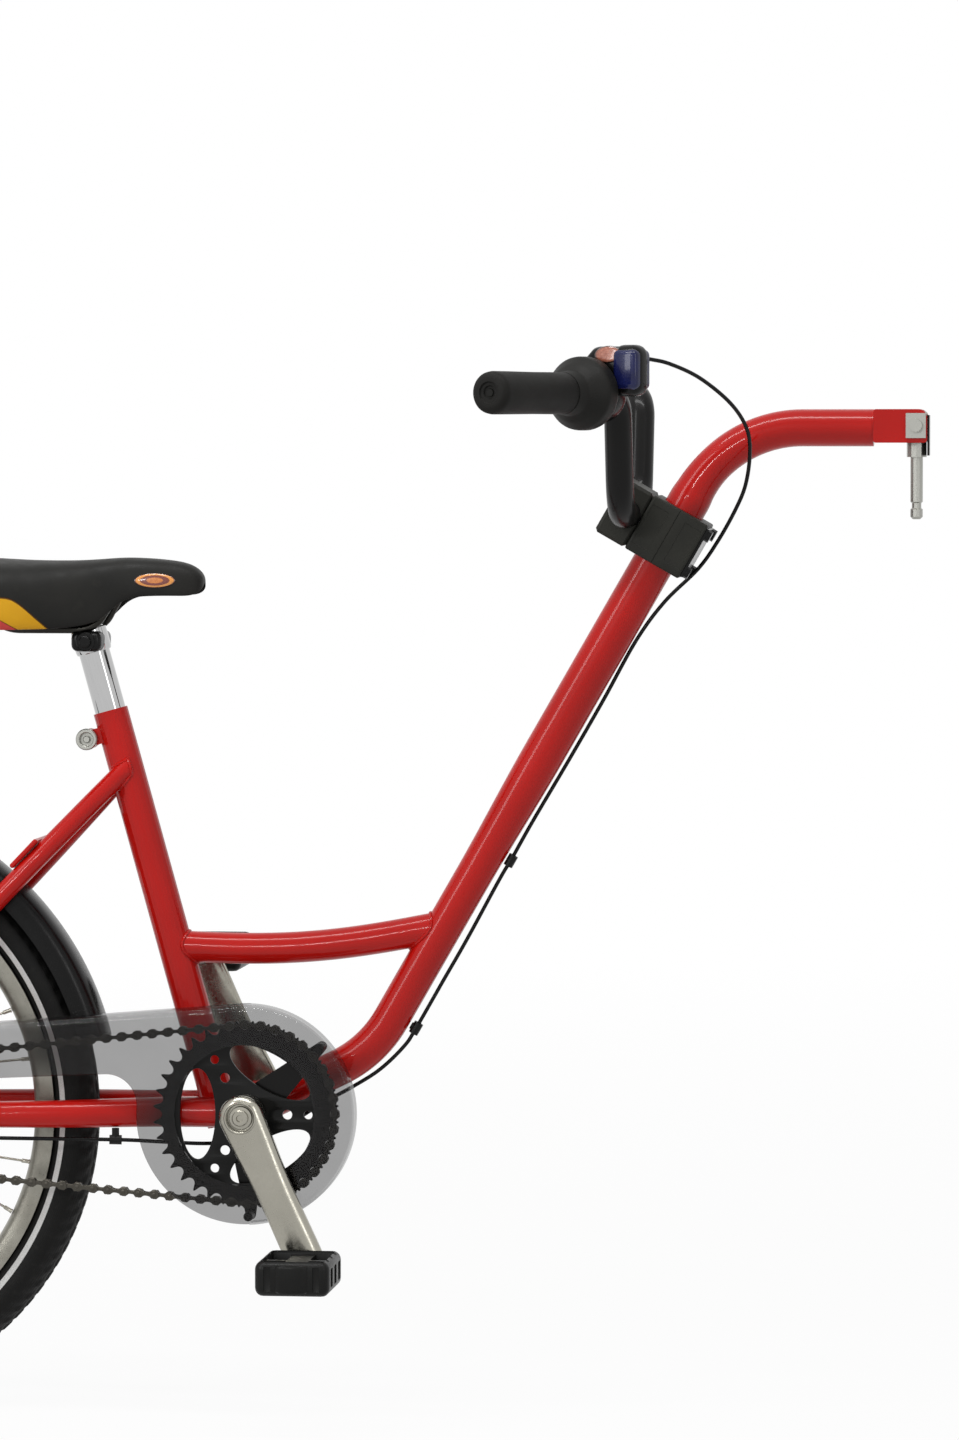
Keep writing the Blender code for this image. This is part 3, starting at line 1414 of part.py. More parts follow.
def make_hitch():
    head_low, head_high = pitch_height - head_height / 2 - 0.0003, pitch_height + head_height / 2 - 0.0003
    edges = (0.002, 0.007, 0.003, 0.002)
    head = side_box("hitch_head", drawbar_end - gap, head_front, head_low, head_high, edges, head_width)
    slot_half = head_width / 2 - cheek_thickness
    slot = block("head_slot", (slot_back + 0.05, 2 * slot_half, 0.1))
    slot.location = ((0.05 - slot_back) / 2, 0, pitch_height)
    screw = pivot_screw_diameter / 2
    centre = Vector((0, 0, pitch_height))
    hole = across_drum("head_hole", screw + gap, 0.1, centre, 14)
    keep(cut(head, slot, hole), "paint")

    yoke_pivot = pivot("hitch_pitch_joint", centre)
    yoke_low = pin_collar_height + gap
    yoke_high = yoke_low + yoke_height
    edges = (0.002, 0.002, 0.001, 0.001)
    yoke = side_box("hitch_yoke", yoke_back, yoke_front, yoke_low, yoke_high, edges, 2 * (slot_half - gap))
    pin_bore = drum("pin_bore", pin_shank_diameter / 2 + gap, 0.1, 16)
    screw_bore = across_drum("screw_bore", screw + gap, 0.1, centre, 14)
    keep(cut(yoke, pin_bore, screw_bore), "black_metal", yoke_pivot)

    # Two screws through the cheeks carry the yoke; a square washer lies under each head
    for side in (right, left):
        word = side_name[side]
        outside = head_width / 2 + gap
        tip = pin_shank_diameter / 2 + 2 * gap
        profile = [
            (0, outside + washer_thickness + pivot_screw_head),
            (screw * 1.6, outside + washer_thickness + pivot_screw_head),
            (screw * 1.6, outside + washer_thickness / 2),
            (screw, outside + washer_thickness / 2),
            (screw, tip),
            (0, tip),
        ]
        bolt = aim(turned(f"pivot_screw_{word}", profile, 12), centre, side * Y)
        washer = block(f"washer_{word}", (0.8 * washer_size, washer_thickness, washer_size))
        washer.location = centre + side * (outside + washer_thickness / 2) * Y
        keep(weld(bolt, washer), "steel")

    start = yoke_front + gap
    corners = (plate_thickness / 4,) * 4
    plate_high = yoke_high + plate_low
    plate = side_box("safety_plate", -start, start + plate_thickness, plate_low, plate_high, corners, plate_width)
    keep(plate, "black_metal", yoke_pivot)

    yaw = pivot("hitch_yaw_joint", Vector((0, 0, yoke_low)), yoke_pivot)
    shank, head_radius = pin_shank_diameter / 2, pin_head_diameter / 2
    pin = pin_diameter / 2
    profile = [
        (0, yoke_high + pin_head_height),
        (head_radius - 0.001, yoke_high + pin_head_height),
        (head_radius, yoke_high + pin_head_height - 0.001),
        (head_radius, yoke_high + gap),
        (shank, yoke_high + gap),
        (shank, pin_collar_height),
        (pin_collar_diameter / 2, pin_collar_height),
        (pin_collar_diameter / 2, 0),
        (pin, 0),
        (pin, -pin_length + 0.0140),
        (pin - 0.0012, -pin_length + 0.0130),
        (pin - 0.0012, -pin_length + 0.0090),
        (pin, -pin_length + 0.0080),
        (pin, -pin_length + 0.0020),
        (pin - 0.0020, -pin_length),
        (0, -pin_length),
    ]
    keep(turned("king_pin", profile, 12), "steel", yaw)


# The saddle on its post
def make_post():
    slide = pivot("post_joint", seat_top)
    wall, radius = post_wall, post_diameter / 2
    profile = [
        (0, exposed_post),
        (radius - 0.001, exposed_post),
        (radius, exposed_post - 0.001),
        (radius, -inserted_post),
        (radius - wall, -inserted_post),
        (radius - wall, exposed_post - post_plug),
        (0, exposed_post - post_plug),
    ]
    post = aim(turned("seat_post", profile, 22), seat_top, seat_up)
    core_radius = radius + clamp_core_wall
    high = clamp_core_height / 2
    core = turned(
        "saddle_clamp_core",
        [(core_radius, high), (core_radius, -high), (radius + gap, -high), (radius + gap, high)],
        18,
        True,
    )
    aim(core, tilt_centre, seat_up)
    bolt_radius = saddle_bolt_diameter / 2
    bolt_hole = across_drum("saddle_bolt_hole", bolt_radius + gap, 0.1, tilt_centre, 12)
    keep(cut(post, bolt_hole), "chrome", slide)
    keep(cut(core, bolt_hole), "steel", slide)
    half = core_radius + gap + cheek_width
    head = saddle_bolt_diameter * 0.6
    head_radius = saddle_bolt_head / 2
    profile = [
        (0, half + head),
        (head_radius, half + head),
        (head_radius, half - 0.001),
        (bolt_radius, half - 0.001),
        (bolt_radius, 0.001 - half),
        (head_radius, 0.001 - half),
        (head_radius, -half - head),
        (0, -half - head),
    ]
    tilt = pivot("saddle_joint", tilt_centre, slide)
    clamp = aim(turned("saddle_clamp", profile, 12), tilt_centre, Y)
    for side in (right, left):
        word = side_name[side]
        across = core_radius + gap + cheek_width / 2
        corner = rail_diameter / 2
        high = rail_rise + 0.5 * corner
        shape = rounded_hull([((0, 0), cheek_radius), ((-cheek_radius, high), corner), ((cheek_radius, high), corner)], 16)
        cheek = as_mesh(outline(f"saddle_cheek_{word}", [shape], cheek_width))
        cheek.rotation_euler = (pi / 2, 0, 0)
        cheek.location = tilt_centre + side * across * Y
        weld(clamp, cheek)
    for side in (right, left):
        rail_hole = drum(f"rail_hole_{side_name[side]}", rail_diameter / 2 + gap, 0.1, 10)
        cut(clamp, aim(rail_hole, tilt_centre + side * rail_spread * Y + rail_rise * Z, Vector((1, 0, 0))))
    keep(clamp, "steel", tilt)
    return tilt


# The saddle's cross-sections from nose to tail, as shares of its length, nose width and height:
# distance back, half width, rise of the top, drop of the skirt's lower edge
saddle_stations = (
    (0.016, 0.34, -0.0100, -0.0140),
    (0.072, 0.84, -0.0015, 0.0015),
    (0.170, 0.98, 0.0015, 0.0000),
    (0.250, 1.02, 0.0025, 0.0000),
    (0.300, 1.10, 0.0020, 0.0060),
    (0.345, 1.24, 0.0010, 0.0212),
    (0.500, 1.90, 0.0000, 0.0215),
    (0.640, 2.70, 0.0010, 0.0250),
    (0.780, 3.36, 0.0030, 0.0275),
    (0.910, 3.40, 0.0045, 0.0270),
    (0.990, 2.50, 0.0010, 0.0180),
)


def saddle_width_at(share):
    """Half the saddle's width at a share of its length from the nose."""
    for first, second in zip(saddle_stations, saddle_stations[1:]):
        if share <= second[0]:
            part = max(0.0, (share - first[0]) / (second[0] - first[0]))
            return (first[1] + (second[1] - first[1]) * part) * saddle_nose_width / 2
    return saddle_stations[-1][1] * saddle_nose_width / 2


def make_saddle(tilt):
    height = tilt_centre.z + rail_rise
    base_middle = saddle_shelf - gap - base_thickness / 2
    nose_x = tilt_centre.x + saddle_nose_reach
    tail_x = nose_x - saddle_length
    mouth = base_middle - base_thickness / 2 - gap - rail_diameter / 2

    # One wire: up from the left rear, forward, round at the nose and back
    narrow = 0.0095
    half = [
        (tail_x + 0.030, 0.044, mouth),
        (tail_x + 0.052, 0.040, mouth),
        (tail_x + 0.088, rail_spread, height),
        (nose_x - 0.074, rail_spread, height),
        (nose_x - 0.042, narrow, mouth),
        (nose_x - 0.026, narrow, mouth),
    ]
    route = [Vector(spot) for spot in half] + [Vector((x, -y, z)) for x, y, z in reversed(half)]
    bends = (0.014, 0.030, 0.020, 0.014, 0.0090, 0.0090, 0.014, 0.020, 0.030, 0.014)
    keep(tube("saddle_rails", filleted(route, bends, 2), rail_diameter, 8), "steel", tilt)

    # The base plate follows the cover's outline inside its skirt
    shares = (0.11, 0.17, 0.25, 0.34, 0.50, 0.64, 0.76, 0.86, 0.93)
    side = [(nose_x - share * saddle_length, 0.52 * saddle_width_at(share)) for share in shares]
    loop = side + [(x, -y) for x, y in reversed(side)]
    base = as_mesh(outline("saddle_base", [loop], base_thickness))
    base.location = (0, 0, base_middle)
    keep(base, "black", tilt)

    def build(shape):
        rings = []
        for share, spread, rise, fall in saddle_stations:
            x = nose_x - share * saddle_length
            wide = spread * saddle_nose_width / 2
            top = saddle_top + rise
            low = saddle_nose_under - fall
            shelf = max(saddle_shelf, low + 0.0030)
            tall = top - low
            half_ring = [
                (0.45 * wide, top - 0.03 * tall),
                (0.80 * wide, top - 0.14 * tall),
                (0.97 * wide, top - 0.42 * tall),
                (1.00 * wide, low + 0.18 * tall),
                (0.96 * wide, low),
                (0.87 * wide, low),
                (0.82 * wide, shelf),
                (0.40 * wide, shelf),
            ]
            ring = [(0, top)] + half_ring + [(0, shelf)] + [(-y, z) for y, z in reversed(half_ring)]
            rings.append([shape.verts.new((x, y, z)) for y, z in ring])
        for one, two in zip(rings, rings[1:]):
            for k in range(len(one)):
                follow = (k + 1) % len(one)
                shape.faces.new((one[k], two[k], two[follow], one[follow]))
        shape.faces.new(rings[0])
        shape.faces.new(list(reversed(rings[-1])))

    cover = mesh_object("saddle_cover", build, 80)
    soft = cover.modifiers.new("soft", "SUBSURF")
    soft.levels = 1
    soft.render_levels = 1
    soft.use_limit_surface = False
    keep(cover, "saddle", tilt)


# The mudguard over the tyre, hung from the stay bridge
def wheel_spot(radius, angle, across=0.0):
    """A place given by its distance from the axle and its angle from straight ahead."""
    return axle_centre + Vector((radius * cos(angle), across, radius * sin(angle)))


def make_mudguard():
    wide, thick = mudguard_half_width, mudguard_thickness
    outside = [
        (mudguard_skirt_radius, wide),
        (mudguard_radius - 0.009, wide - 0.0015),
        (mudguard_radius, wide - 0.016),
    ]
    inside = [
        (mudguard_skirt_radius, wide - thick),
        (mudguard_radius - 0.0097, wide - 0.0015 - thick),
        (mudguard_radius - thick, wide - 0.0165),
    ]
    inside_back = [(r, -y) for r, y in inside] + [(r, y) for r, y in reversed(inside)]
    profile = outside + [(r, -y) for r, y in reversed(outside)] + inside_back
    guard = turned("mudguard", profile, wheel_steps, True)
    aim(guard, axle_centre, Y)
    far = 2 * mudguard_radius
    fan = [side_spot(axle_centre)]
    steps = 4
    for step in range(steps + 1):
        turn = mudguard_rear_angle + (mudguard_front_angle + 2 * pi - mudguard_rear_angle) * step / steps
        fan.append(side_spot(wheel_spot(far, turn)))
    fan_cut = as_mesh(outline("mudguard_cut", [fan], 4 * wide))
    flat_in_side_view(fan_cut, 0)

    # A tab rises under the stay bridge, and a screw holds the two together
    tab_start, tab_end = mudguard_radius - thick / 2, bridge_radius + mudguard_tab_width / 2
    under = seatstay_diameter / 2 - mudguard_tab_thickness / 2
    tab = block("mudguard_tab", (tab_end - tab_start, mudguard_tab_width, mudguard_tab_thickness))
    tab.location = axle_centre + (tab_start + tab_end) / 2 * seatstay_along + under * seatstay_normal
    tab.rotation_euler = (0, -seatstay_slope, 0)
    top = seatstay_diameter / 2 + bridge_thickness + 2 * gap
    middle = axle_centre + bridge_radius * seatstay_along
    shank = drum("bridge_screw_shank", bridge_screw_diameter / 2, top + 0.001 - under, 10)
    aim(shank, middle + (top + 0.001 + under) / 2 * seatstay_normal, seatstay_normal)
    head = drum("bridge_screw_head", bridge_screw_diameter * 0.9, 0.003, 12)
    aim(head, middle + (top + 0.0015) * seatstay_normal, seatstay_normal)
    keep(weld(cut(guard, fan_cut), tab, shank, head), "black")


# The shift cable, held along the frame, its guides and the box that it works on the axle
def make_guide(number, place, along, surface):
    """A ring round the cable, with a web that reaches the tube's surface."""
    ring = drum(f"cable_guide_{number}", guide_diameter / 2, guide_length, 12)
    aim(ring, place, along)
    web = drum(f"guide_web_{number}", guide_web, (surface - place).length, 8)
    aim(web, (surface + place) / 2, surface - place)
    bore = aim(drum(f"guide_bore_{number}", cable_diameter / 2 + gap, 4 * guide_length, 10), place, along)
    keep(cut(weld(ring, web), bore), "black")


def make_cable():
    loop = blended([Vector(spot) for spot in cable_loop_route], 2)
    keep(tube("shift_cable_loop", loop, cable_diameter, 6), "black")
    run = blended([Vector(spot) for spot in cable_run_route], 2)
    keep(tube("shift_cable_run", run, cable_diameter, 6), "black")
    for number, index in ((1, 0), (2, 4)):
        place = Vector(cable_run_route[index])
        drop = (place - upper_point).dot(drawbar_back)
        taper = min(1, ((upper_point - place).dot(drawbar_along) - taper_start) / taper_length)
        width = drawbar_swell + (drawbar_diameter - drawbar_swell) * (1 - cos(pi * taper)) / 2
        surface = place - (drop + width / 2 + 5 * gap) * drawbar_back
        make_guide(number, place, drawbar_along, surface)
    place = Vector(cable_run_route[13])
    along = Vector(cable_run_route[14]) - Vector(cable_run_route[12])
    make_guide(3, place, along, place + 0.0095 * Z)
    start = dropout_inner + dropout_thickness + nut_height + 3 * gap
    box = across_drum(
        "shift_box", shift_box_diameter / 2, shift_box_length, axle_centre - (start + shift_box_length / 2) * Y, 18
    )
    round_edges(box, 0.003, 1)
    bore = across_drum("shift_box_bore", axle_diameter / 2 + gap, 0.03, axle_centre - start * Y, 16)
    keep(cut(box, bore), "black")


make_guard()
make_guard_bracket()
make_handlebar(make_clamp())
make_hitch()
make_saddle(make_post())
make_mudguard()
make_cable()
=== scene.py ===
"""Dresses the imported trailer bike: detailed pieces, procedural materials, light and camera."""

import json
from math import acos, asin, atan2, cos, pi, radians, sin, sqrt, tan

import bmesh
import bpy
from mathutils import Matrix, Vector
from mathutils.bvhtree import BVHTree


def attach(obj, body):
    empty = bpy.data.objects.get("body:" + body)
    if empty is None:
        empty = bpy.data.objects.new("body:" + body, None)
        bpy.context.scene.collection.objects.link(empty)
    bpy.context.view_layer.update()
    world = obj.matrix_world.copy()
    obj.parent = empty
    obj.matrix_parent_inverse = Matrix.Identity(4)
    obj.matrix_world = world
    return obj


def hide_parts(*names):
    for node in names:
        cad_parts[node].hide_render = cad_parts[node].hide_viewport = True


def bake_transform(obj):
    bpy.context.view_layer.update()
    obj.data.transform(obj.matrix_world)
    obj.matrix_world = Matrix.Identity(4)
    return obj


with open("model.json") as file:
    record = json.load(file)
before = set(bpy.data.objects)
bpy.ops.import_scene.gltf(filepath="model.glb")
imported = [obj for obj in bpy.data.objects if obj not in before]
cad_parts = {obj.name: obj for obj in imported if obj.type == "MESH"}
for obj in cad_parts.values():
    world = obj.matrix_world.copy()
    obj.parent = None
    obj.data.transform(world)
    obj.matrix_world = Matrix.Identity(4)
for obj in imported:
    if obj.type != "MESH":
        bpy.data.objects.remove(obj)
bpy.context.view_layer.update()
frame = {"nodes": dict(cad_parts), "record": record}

nodes = frame["nodes"]
joints = {joint["name"]: joint for joint in frame["record"]["behaviour"]["joints"]}
X, Y, Z = Vector((1, 0, 0)), Vector((0, 1, 0)), Vector((0, 0, 1))


def joint_place(name):
    return Vector(joints[name]["pos_m"])


def joint_axis(name):
    return Vector(joints[name]["axis"])


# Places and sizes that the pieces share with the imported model, in metres
axle = joint_place("wheel_spin")
bracket = joint_place("crank_spin")
bar_centre = joint_place("handlebar_tilt")
clamp_centre = joint_place("clamp_slide")
drawbar_along = joint_axis("clamp_slide")
drawbar_back = Vector((-drawbar_along.z, 0, drawbar_along.x))
twist_centre = joint_place("shifter_twist")
grip_out = joint_axis("shifter_twist")
seat_up = joint_axis("seat_height")
tilt_centre = joint_place("saddle_tilt")
chain_line, pitch, roller_radius = 0.045, 0.0127, 0.00385
ring_teeth, sprocket_teeth = 36, 18
ring_radius = pitch / (2 * sin(pi / ring_teeth))
sprocket_radius = pitch / (2 * sin(pi / sprocket_teeth))
crank_length, crank_angle = 0.130, radians(-65.5)
centre_distance = (bracket - axle).length
centre_tilt = asin((bracket.z - axle.z) / centre_distance)


# Materials
class Nodes:
    """Adds linked nodes to one node tree."""

    def __init__(self, tree):
        self.tree = tree

    def add(self, kind, inputs=None, **settings):
        node = self.tree.nodes.new("ShaderNode" + kind)
        for key, value in settings.items():
            setattr(node, key, value)
        for key, value in (inputs or {}).items():
            self.feed(node.inputs[key], value)
        return node

    def feed(self, socket, value):
        if isinstance(value, bpy.types.NodeSocket):
            self.tree.links.new(value, socket)
        else:
            socket.default_value = value

    def remap(self, value, low, high, out_low, out_high):
        return self.add("MapRange", {0: value, 1: low, 2: high, 3: out_low, 4: out_high}).outputs[0]

    def calc(self, operation, one, two=0.0, three=0.5):
        return self.add("Math", {0: one, 1: two, 2: three}, operation=operation).outputs[0]

    def white_rays(self):
        """1 for the rays that see the white background: camera, glossy and transmission rays."""
        rays = self.add("LightPath").outputs
        seen = self.calc("MAXIMUM", rays["Is Camera Ray"], rays["Is Glossy Ray"])
        return self.calc("MAXIMUM", seen, rays["Is Transmission Ray"])


class Maker(Nodes):
    """Builds one node material; sizes in the patterns are metres on the object."""

    def __init__(self, name):
        self.surface = bpy.data.materials.new(name)
        self.surface.use_nodes = True
        super().__init__(self.surface.node_tree)
        self.shader = self.tree.nodes["Principled BSDF"]
        self.place = self.add("TexCoord").outputs["Object"]

    def noise(self, size, detail=2.0, stretch=None):
        """Noise whose cells are about as large as size."""
        place = self.place
        if stretch:
            place = self.add("Mapping", {"Vector": place, "Scale": stretch}).outputs[0]
        return self.add("TexNoise", {"Vector": place, "Scale": 1 / size, "Detail": detail}).outputs["Fac"]

    def axes(self):
        return self.add("SeparateXYZ", {0: self.place}).outputs

    def reach(self, wide=1.0, tall=1.0):
        """Distance from the object's own Z axis, as a share of an oval's half sizes."""
        squares = []
        for value, size in zip(self.axes(), (wide, tall)):
            share = self.calc("DIVIDE", value, size)
            squares.append(self.calc("MULTIPLY", share, share))
        return self.calc("SQRT", self.calc("ADD", *squares))

    def waves(self, value, rate):
        return self.calc("SINE", self.calc("MULTIPLY", value, rate))

    def band(self, value, middle, half, edge):
        """1 where value lies within half of middle, with a soft edge."""
        away = self.calc("ABSOLUTE", self.calc("SUBTRACT", value, middle))
        return self.remap(away, half - edge, half + edge, 1, 0)

    def blend(self, share, one, two):
        node = self.add("Mix", data_type="RGBA")
        self.feed(node.inputs["Factor"], share)
        for socket, value in ((node.inputs[6], one), (node.inputs[7], two)):
            self.feed(socket, (*value, 1) if isinstance(value, tuple) else value)
        return node.outputs[2]

    def mottle(self, pattern, one, two):
        """One colour drifts into the other as a noise pattern does."""
        return self.blend(self.remap(pattern, 0.3, 0.7, 0, 1), one, two)

    def bump(self, height, depth, strength=1.0, under=None):
        inputs = {"Height": height, "Distance": depth, "Strength": strength}
        if under:
            inputs["Normal"] = under
        return self.add("Bump", inputs).outputs[0]

    def finish(self, colour, roughness, normal=None, **values):
        """Feeds the shader and gives the finished material."""
        values |= {"Base_Color": colour, "Roughness": roughness}
        if normal:
            values["Normal"] = normal
        for key, value in values.items():
            self.feed(self.shader.inputs[key.replace("_", " ")], value)
        return self.surface


def shade(colour, factor):
    return tuple(channel * factor for channel in colour)


def painted(name, colour, roughness=0.30, coat=0.35, dust=0.08):
    """Gloss paint with faint orange peel, cloudiness and specks."""
    make = Maker(name)
    tone = make.mottle(make.noise(0.09, 3), shade(colour, 0.92), shade(colour, 1.08))
    speck = make.remap(make.noise(0.0014, 2), 0.73, 0.80, 0, dust)
    tone = make.blend(speck, tone, shade(colour, 0.6))
    rough = make.remap(make.noise(0.05, 2), 0.3, 0.75, roughness * 0.92, roughness * 1.12)
    peel = make.bump(make.noise(0.012, 1), 0.00002, 0.08)
    coating = {"Coat_Weight": coat, "Coat_Roughness": 0.03, "Coat_IOR": 1.45}
    return make.finish(tone, rough, peel, Specular_IOR_Level=0.10, **coating)


def metal(name, colour, roughness=0.25, grain=0.0012, scratch=0.25, stain=0.15, stretch=(1, 1, 1)):
    """Bare metal with brushed grain, cloudy polish and fine scratches."""
    make = Maker(name)
    brushed = make.noise(grain, 3, stretch)
    cloud = make.noise(0.03, 3)
    tone = make.blend(make.remap(cloud, 0.35, 0.75, 0, stain), colour, shade(colour, 0.62))
    tone = make.blend(make.remap(brushed, 0.35, 0.7, 0, 0.35), tone, shade(colour, 0.86))
    fine = make.remap(brushed, 0.3, 0.7, roughness * 0.75, roughness * 1.2)
    rough = make.calc("ADD", fine, make.remap(cloud, 0.3, 0.7, 0, roughness * 0.35))
    return make.finish(tone, rough, make.bump(brushed, 0.00006, scratch), Metallic=1.0)


def plastic(name, tone, roughness=0.42, grain=0.0009, depth=0.00008, variation=0.25, strength=0.5):
    """Moulded plastic or rubber with a fine spark-eroded grain; tone is its grey or its colour."""
    make = Maker(name)
    grainy = make.noise(grain, 3)
    cloud = make.noise(0.035, 3)
    colour = tone if isinstance(tone, tuple) else (tone, tone, tone)
    tone = make.mottle(cloud, shade(colour, 1 - variation), shade(colour, 1 + variation))
    smooth = make.remap(cloud, 0.3, 0.7, roughness * 0.9, roughness * 1.12)
    rough = make.calc("ADD", make.remap(grainy, 0.3, 0.7, -0.05, 0.06), smooth)
    return make.finish(tone, rough, make.bump(grainy, depth, strength), Specular_IOR_Level=0.15)


def smoked():
    """Tinted see-through plastic: what lies behind shows dark through it, with a gloss on top."""
    make = Maker("smoked_plastic")
    tint = make.mottle(make.noise(0.05, 2), (0.003, 0.0026, 0.0026), (0.005, 0.0042, 0.0042))
    rough = make.remap(make.noise(0.012, 3), 0.3, 0.7, 0.04, 0.06)
    clear = make.remap(make.noise(0.03, 2), 0.3, 0.7, 0.415, 0.430)
    ripple = make.bump(make.noise(0.02, 1), 0.00002, 0.1)
    gloss = {"Specular_IOR_Level": 0.25, "Coat_Weight": 0.25, "Coat_Roughness": 0.025}
    return make.finish(tint, rough, ripple, Alpha=clear, **gloss)


def tyre_rubber():
    """Black rubber with moulding rings and a reflective stripe on each side wall."""
    make = Maker("tyre_rubber")
    radius = make.reach()
    side = make.calc("ABSOLUTE", make.axes()[2])
    outwards = make.remap(side, 0.014, 0.016, 0, 1)
    stripe = make.calc("MULTIPLY", make.band(radius, 0.2180, 0.0024, 0.0002), outwards)
    grain = make.noise(0.0012, 3)
    rubber = make.mottle(make.noise(0.05, 3), (0.0035, 0.0035, 0.0033), (0.007, 0.0068, 0.0064))
    dust = make.remap(make.noise(0.006, 4), 0.55, 0.75, 0, 0.25)
    rubber = make.blend(dust, rubber, (0.022, 0.021, 0.019))
    white = make.mottle(make.noise(0.0006, 1), (0.60, 0.60, 0.58), (0.80, 0.80, 0.79))
    rough = make.remap(grain, 0.3, 0.7, 0.50, 0.66)
    rough = make.calc("SUBTRACT", rough, make.calc("MULTIPLY", stripe, 0.2))
    rings_bump = make.bump(make.waves(radius, 4200.0), 0.00012, 0.35)
    normal = make.bump(grain, 0.00010, 0.6, rings_bump)
    return make.finish(make.blend(stripe, rubber, white), rough, normal, Specular_IOR_Level=0.15)


def rim_metal():
    """Machined alloy: turned lines on the brake track, brushed elsewhere."""
    make = Maker("rim_alloy")
    lines = make.waves(make.reach(), 9000.0)
    grain = make.noise(0.0008, 3)
    tone = make.mottle(make.noise(0.02, 3), (0.21, 0.20, 0.17), (0.31, 0.30, 0.26))
    tone = make.blend(make.remap(lines, -1, 1, 0, 0.25), tone, (0.15, 0.145, 0.13))
    normal = make.bump(lines, 0.00004, 0.5, make.bump(grain, 0.00005, 0.3))
    return make.finish(tone, make.remap(grain, 0.3, 0.7, 0.26, 0.40), normal, Metallic=1.0)


def twist_rubber():
    """Rubber with fine knurling round the sleeve."""
    make = Maker("twist_rubber")
    axes = make.axes()
    ribs = make.waves(make.calc("ARCTAN2", axes[1], axes[0]), 60.0)
    grain = make.noise(0.0008, 3)
    tone = make.mottle(grain, (0.006, 0.0058, 0.0052), (0.012, 0.0115, 0.01))
    normal = make.bump(grain, 0.0001, 0.5, make.bump(ribs, 0.00005, 0.15))
    return make.finish(tone, make.remap(grain, 0.3, 0.7, 0.42, 0.58), normal, Specular_IOR_Level=0.15)


def saddle_vinyl():
    """Black grained vinyl with a yellow wing and a red field low on each flank, edged by sewn seams."""
    make = Maker("saddle_vinyl")
    axes = make.axes()
    along, up = axes[0], axes[2]
    fall = make.calc("MULTIPLY", make.calc("ADD", along, 0.7290), -0.95)
    wing_top = make.calc("SMOOTH_MIN", make.calc("ADD", fall, -0.1140), -0.1140, 0.012)
    wing = make.calc("SUBTRACT", wing_top, up)
    slope = make.calc("MULTIPLY", make.calc("ADD", along, 0.7420), -0.60)
    red_top = make.calc("MINIMUM", make.calc("ADD", slope, -0.1300), make.calc("SUBTRACT", wing_top, 0.004))
    red = make.calc("SUBTRACT", red_top, up)
    in_wing, in_red = (make.remap(field, -0.0001, 0.0001, 0, 1) for field in (wing, red))
    seam = make.calc("MAXIMUM", make.band(wing, 0.0, 0.0007, 0.0002), make.band(red, 0.0, 0.0003, 0.0002))
    grain = make.add("TexVoronoi", {"Vector": make.place, "Scale": 900.0}, feature="F1").outputs["Distance"]
    crease = make.noise(0.012, 4)
    cloud = make.noise(0.05, 3)
    black = make.mottle(cloud, (0.006, 0.006, 0.0052), (0.0115, 0.011, 0.0095))
    black = make.blend(make.remap(crease, 0.62, 0.72, 0, 0.3), black, (0.020, 0.019, 0.016))
    yellow = make.mottle(cloud, (0.66, 0.33, 0.010), (0.76, 0.40, 0.018))
    scarlet = make.mottle(cloud, (0.56, 0.050, 0.045), (0.66, 0.075, 0.07))
    tone = make.blend(in_red, make.blend(in_wing, black, yellow), scarlet)
    tone = make.blend(make.calc("MULTIPLY", seam, 0.9), tone, (0.060, 0.022, 0.004))
    rough = make.remap(crease, 0.3, 0.7, 0.46, 0.58)
    rough = make.calc("SUBTRACT", rough, make.calc("MULTIPLY", in_wing, 0.12))
    pressed = make.bump(make.calc("SUBTRACT", 1.0, seam), 0.0006, 0.8, make.bump(crease, 0.0006, 0.20))
    sheen = {"Sheen_Weight": 0.03, "Sheen_Roughness": 0.4, "Specular_IOR_Level": 0.18}
    return make.finish(tone, rough, make.bump(grain, 0.0001, 0.3, pressed), **sheen)


def badge_enamel():
    """Domed resin badge: an orange border round a dark red oval with an amber heart."""
    make = Maker("badge_enamel")
    reach = make.reach(0.0163, 0.0057)
    flake = make.noise(0.0008, 2)
    orange = make.mottle(flake, (0.72, 0.25, 0.03), (0.86, 0.36, 0.06))
    amber = make.mottle(flake, (0.52, 0.14, 0.015), (0.66, 0.22, 0.03))
    tone = make.blend(make.remap(reach, 0.72, 0.76, 1, 0), orange, (0.17, 0.022, 0.010))
    tone = make.blend(make.remap(reach, 0.38, 0.44, 1, 0), tone, amber)
    tone = make.blend(make.remap(reach, 0.94, 0.97, 0, 1), tone, (0.10, 0.015, 0.006))
    rough = make.remap(flake, 0.3, 0.7, 0.2, 0.34)
    return make.finish(tone, rough, Coat_Weight=0.8, Coat_Roughness=0.05)


def display_plastic():
    """Deep blue glossy moulding."""
    make = Maker("display_plastic")
    blue = make.mottle(make.noise(0.01, 3), (0.004, 0.006, 0.048), (0.007, 0.011, 0.078))
    grain = make.noise(0.0012, 3)
    gloss = {"Specular_IOR_Level": 0.2, "Coat_Weight": 0.3, "Coat_Roughness": 0.06}
    return make.finish(blue, make.remap(grain, 0.3, 0.7, 0.20, 0.30), make.bump(grain, 0.00005, 0.3), **gloss)


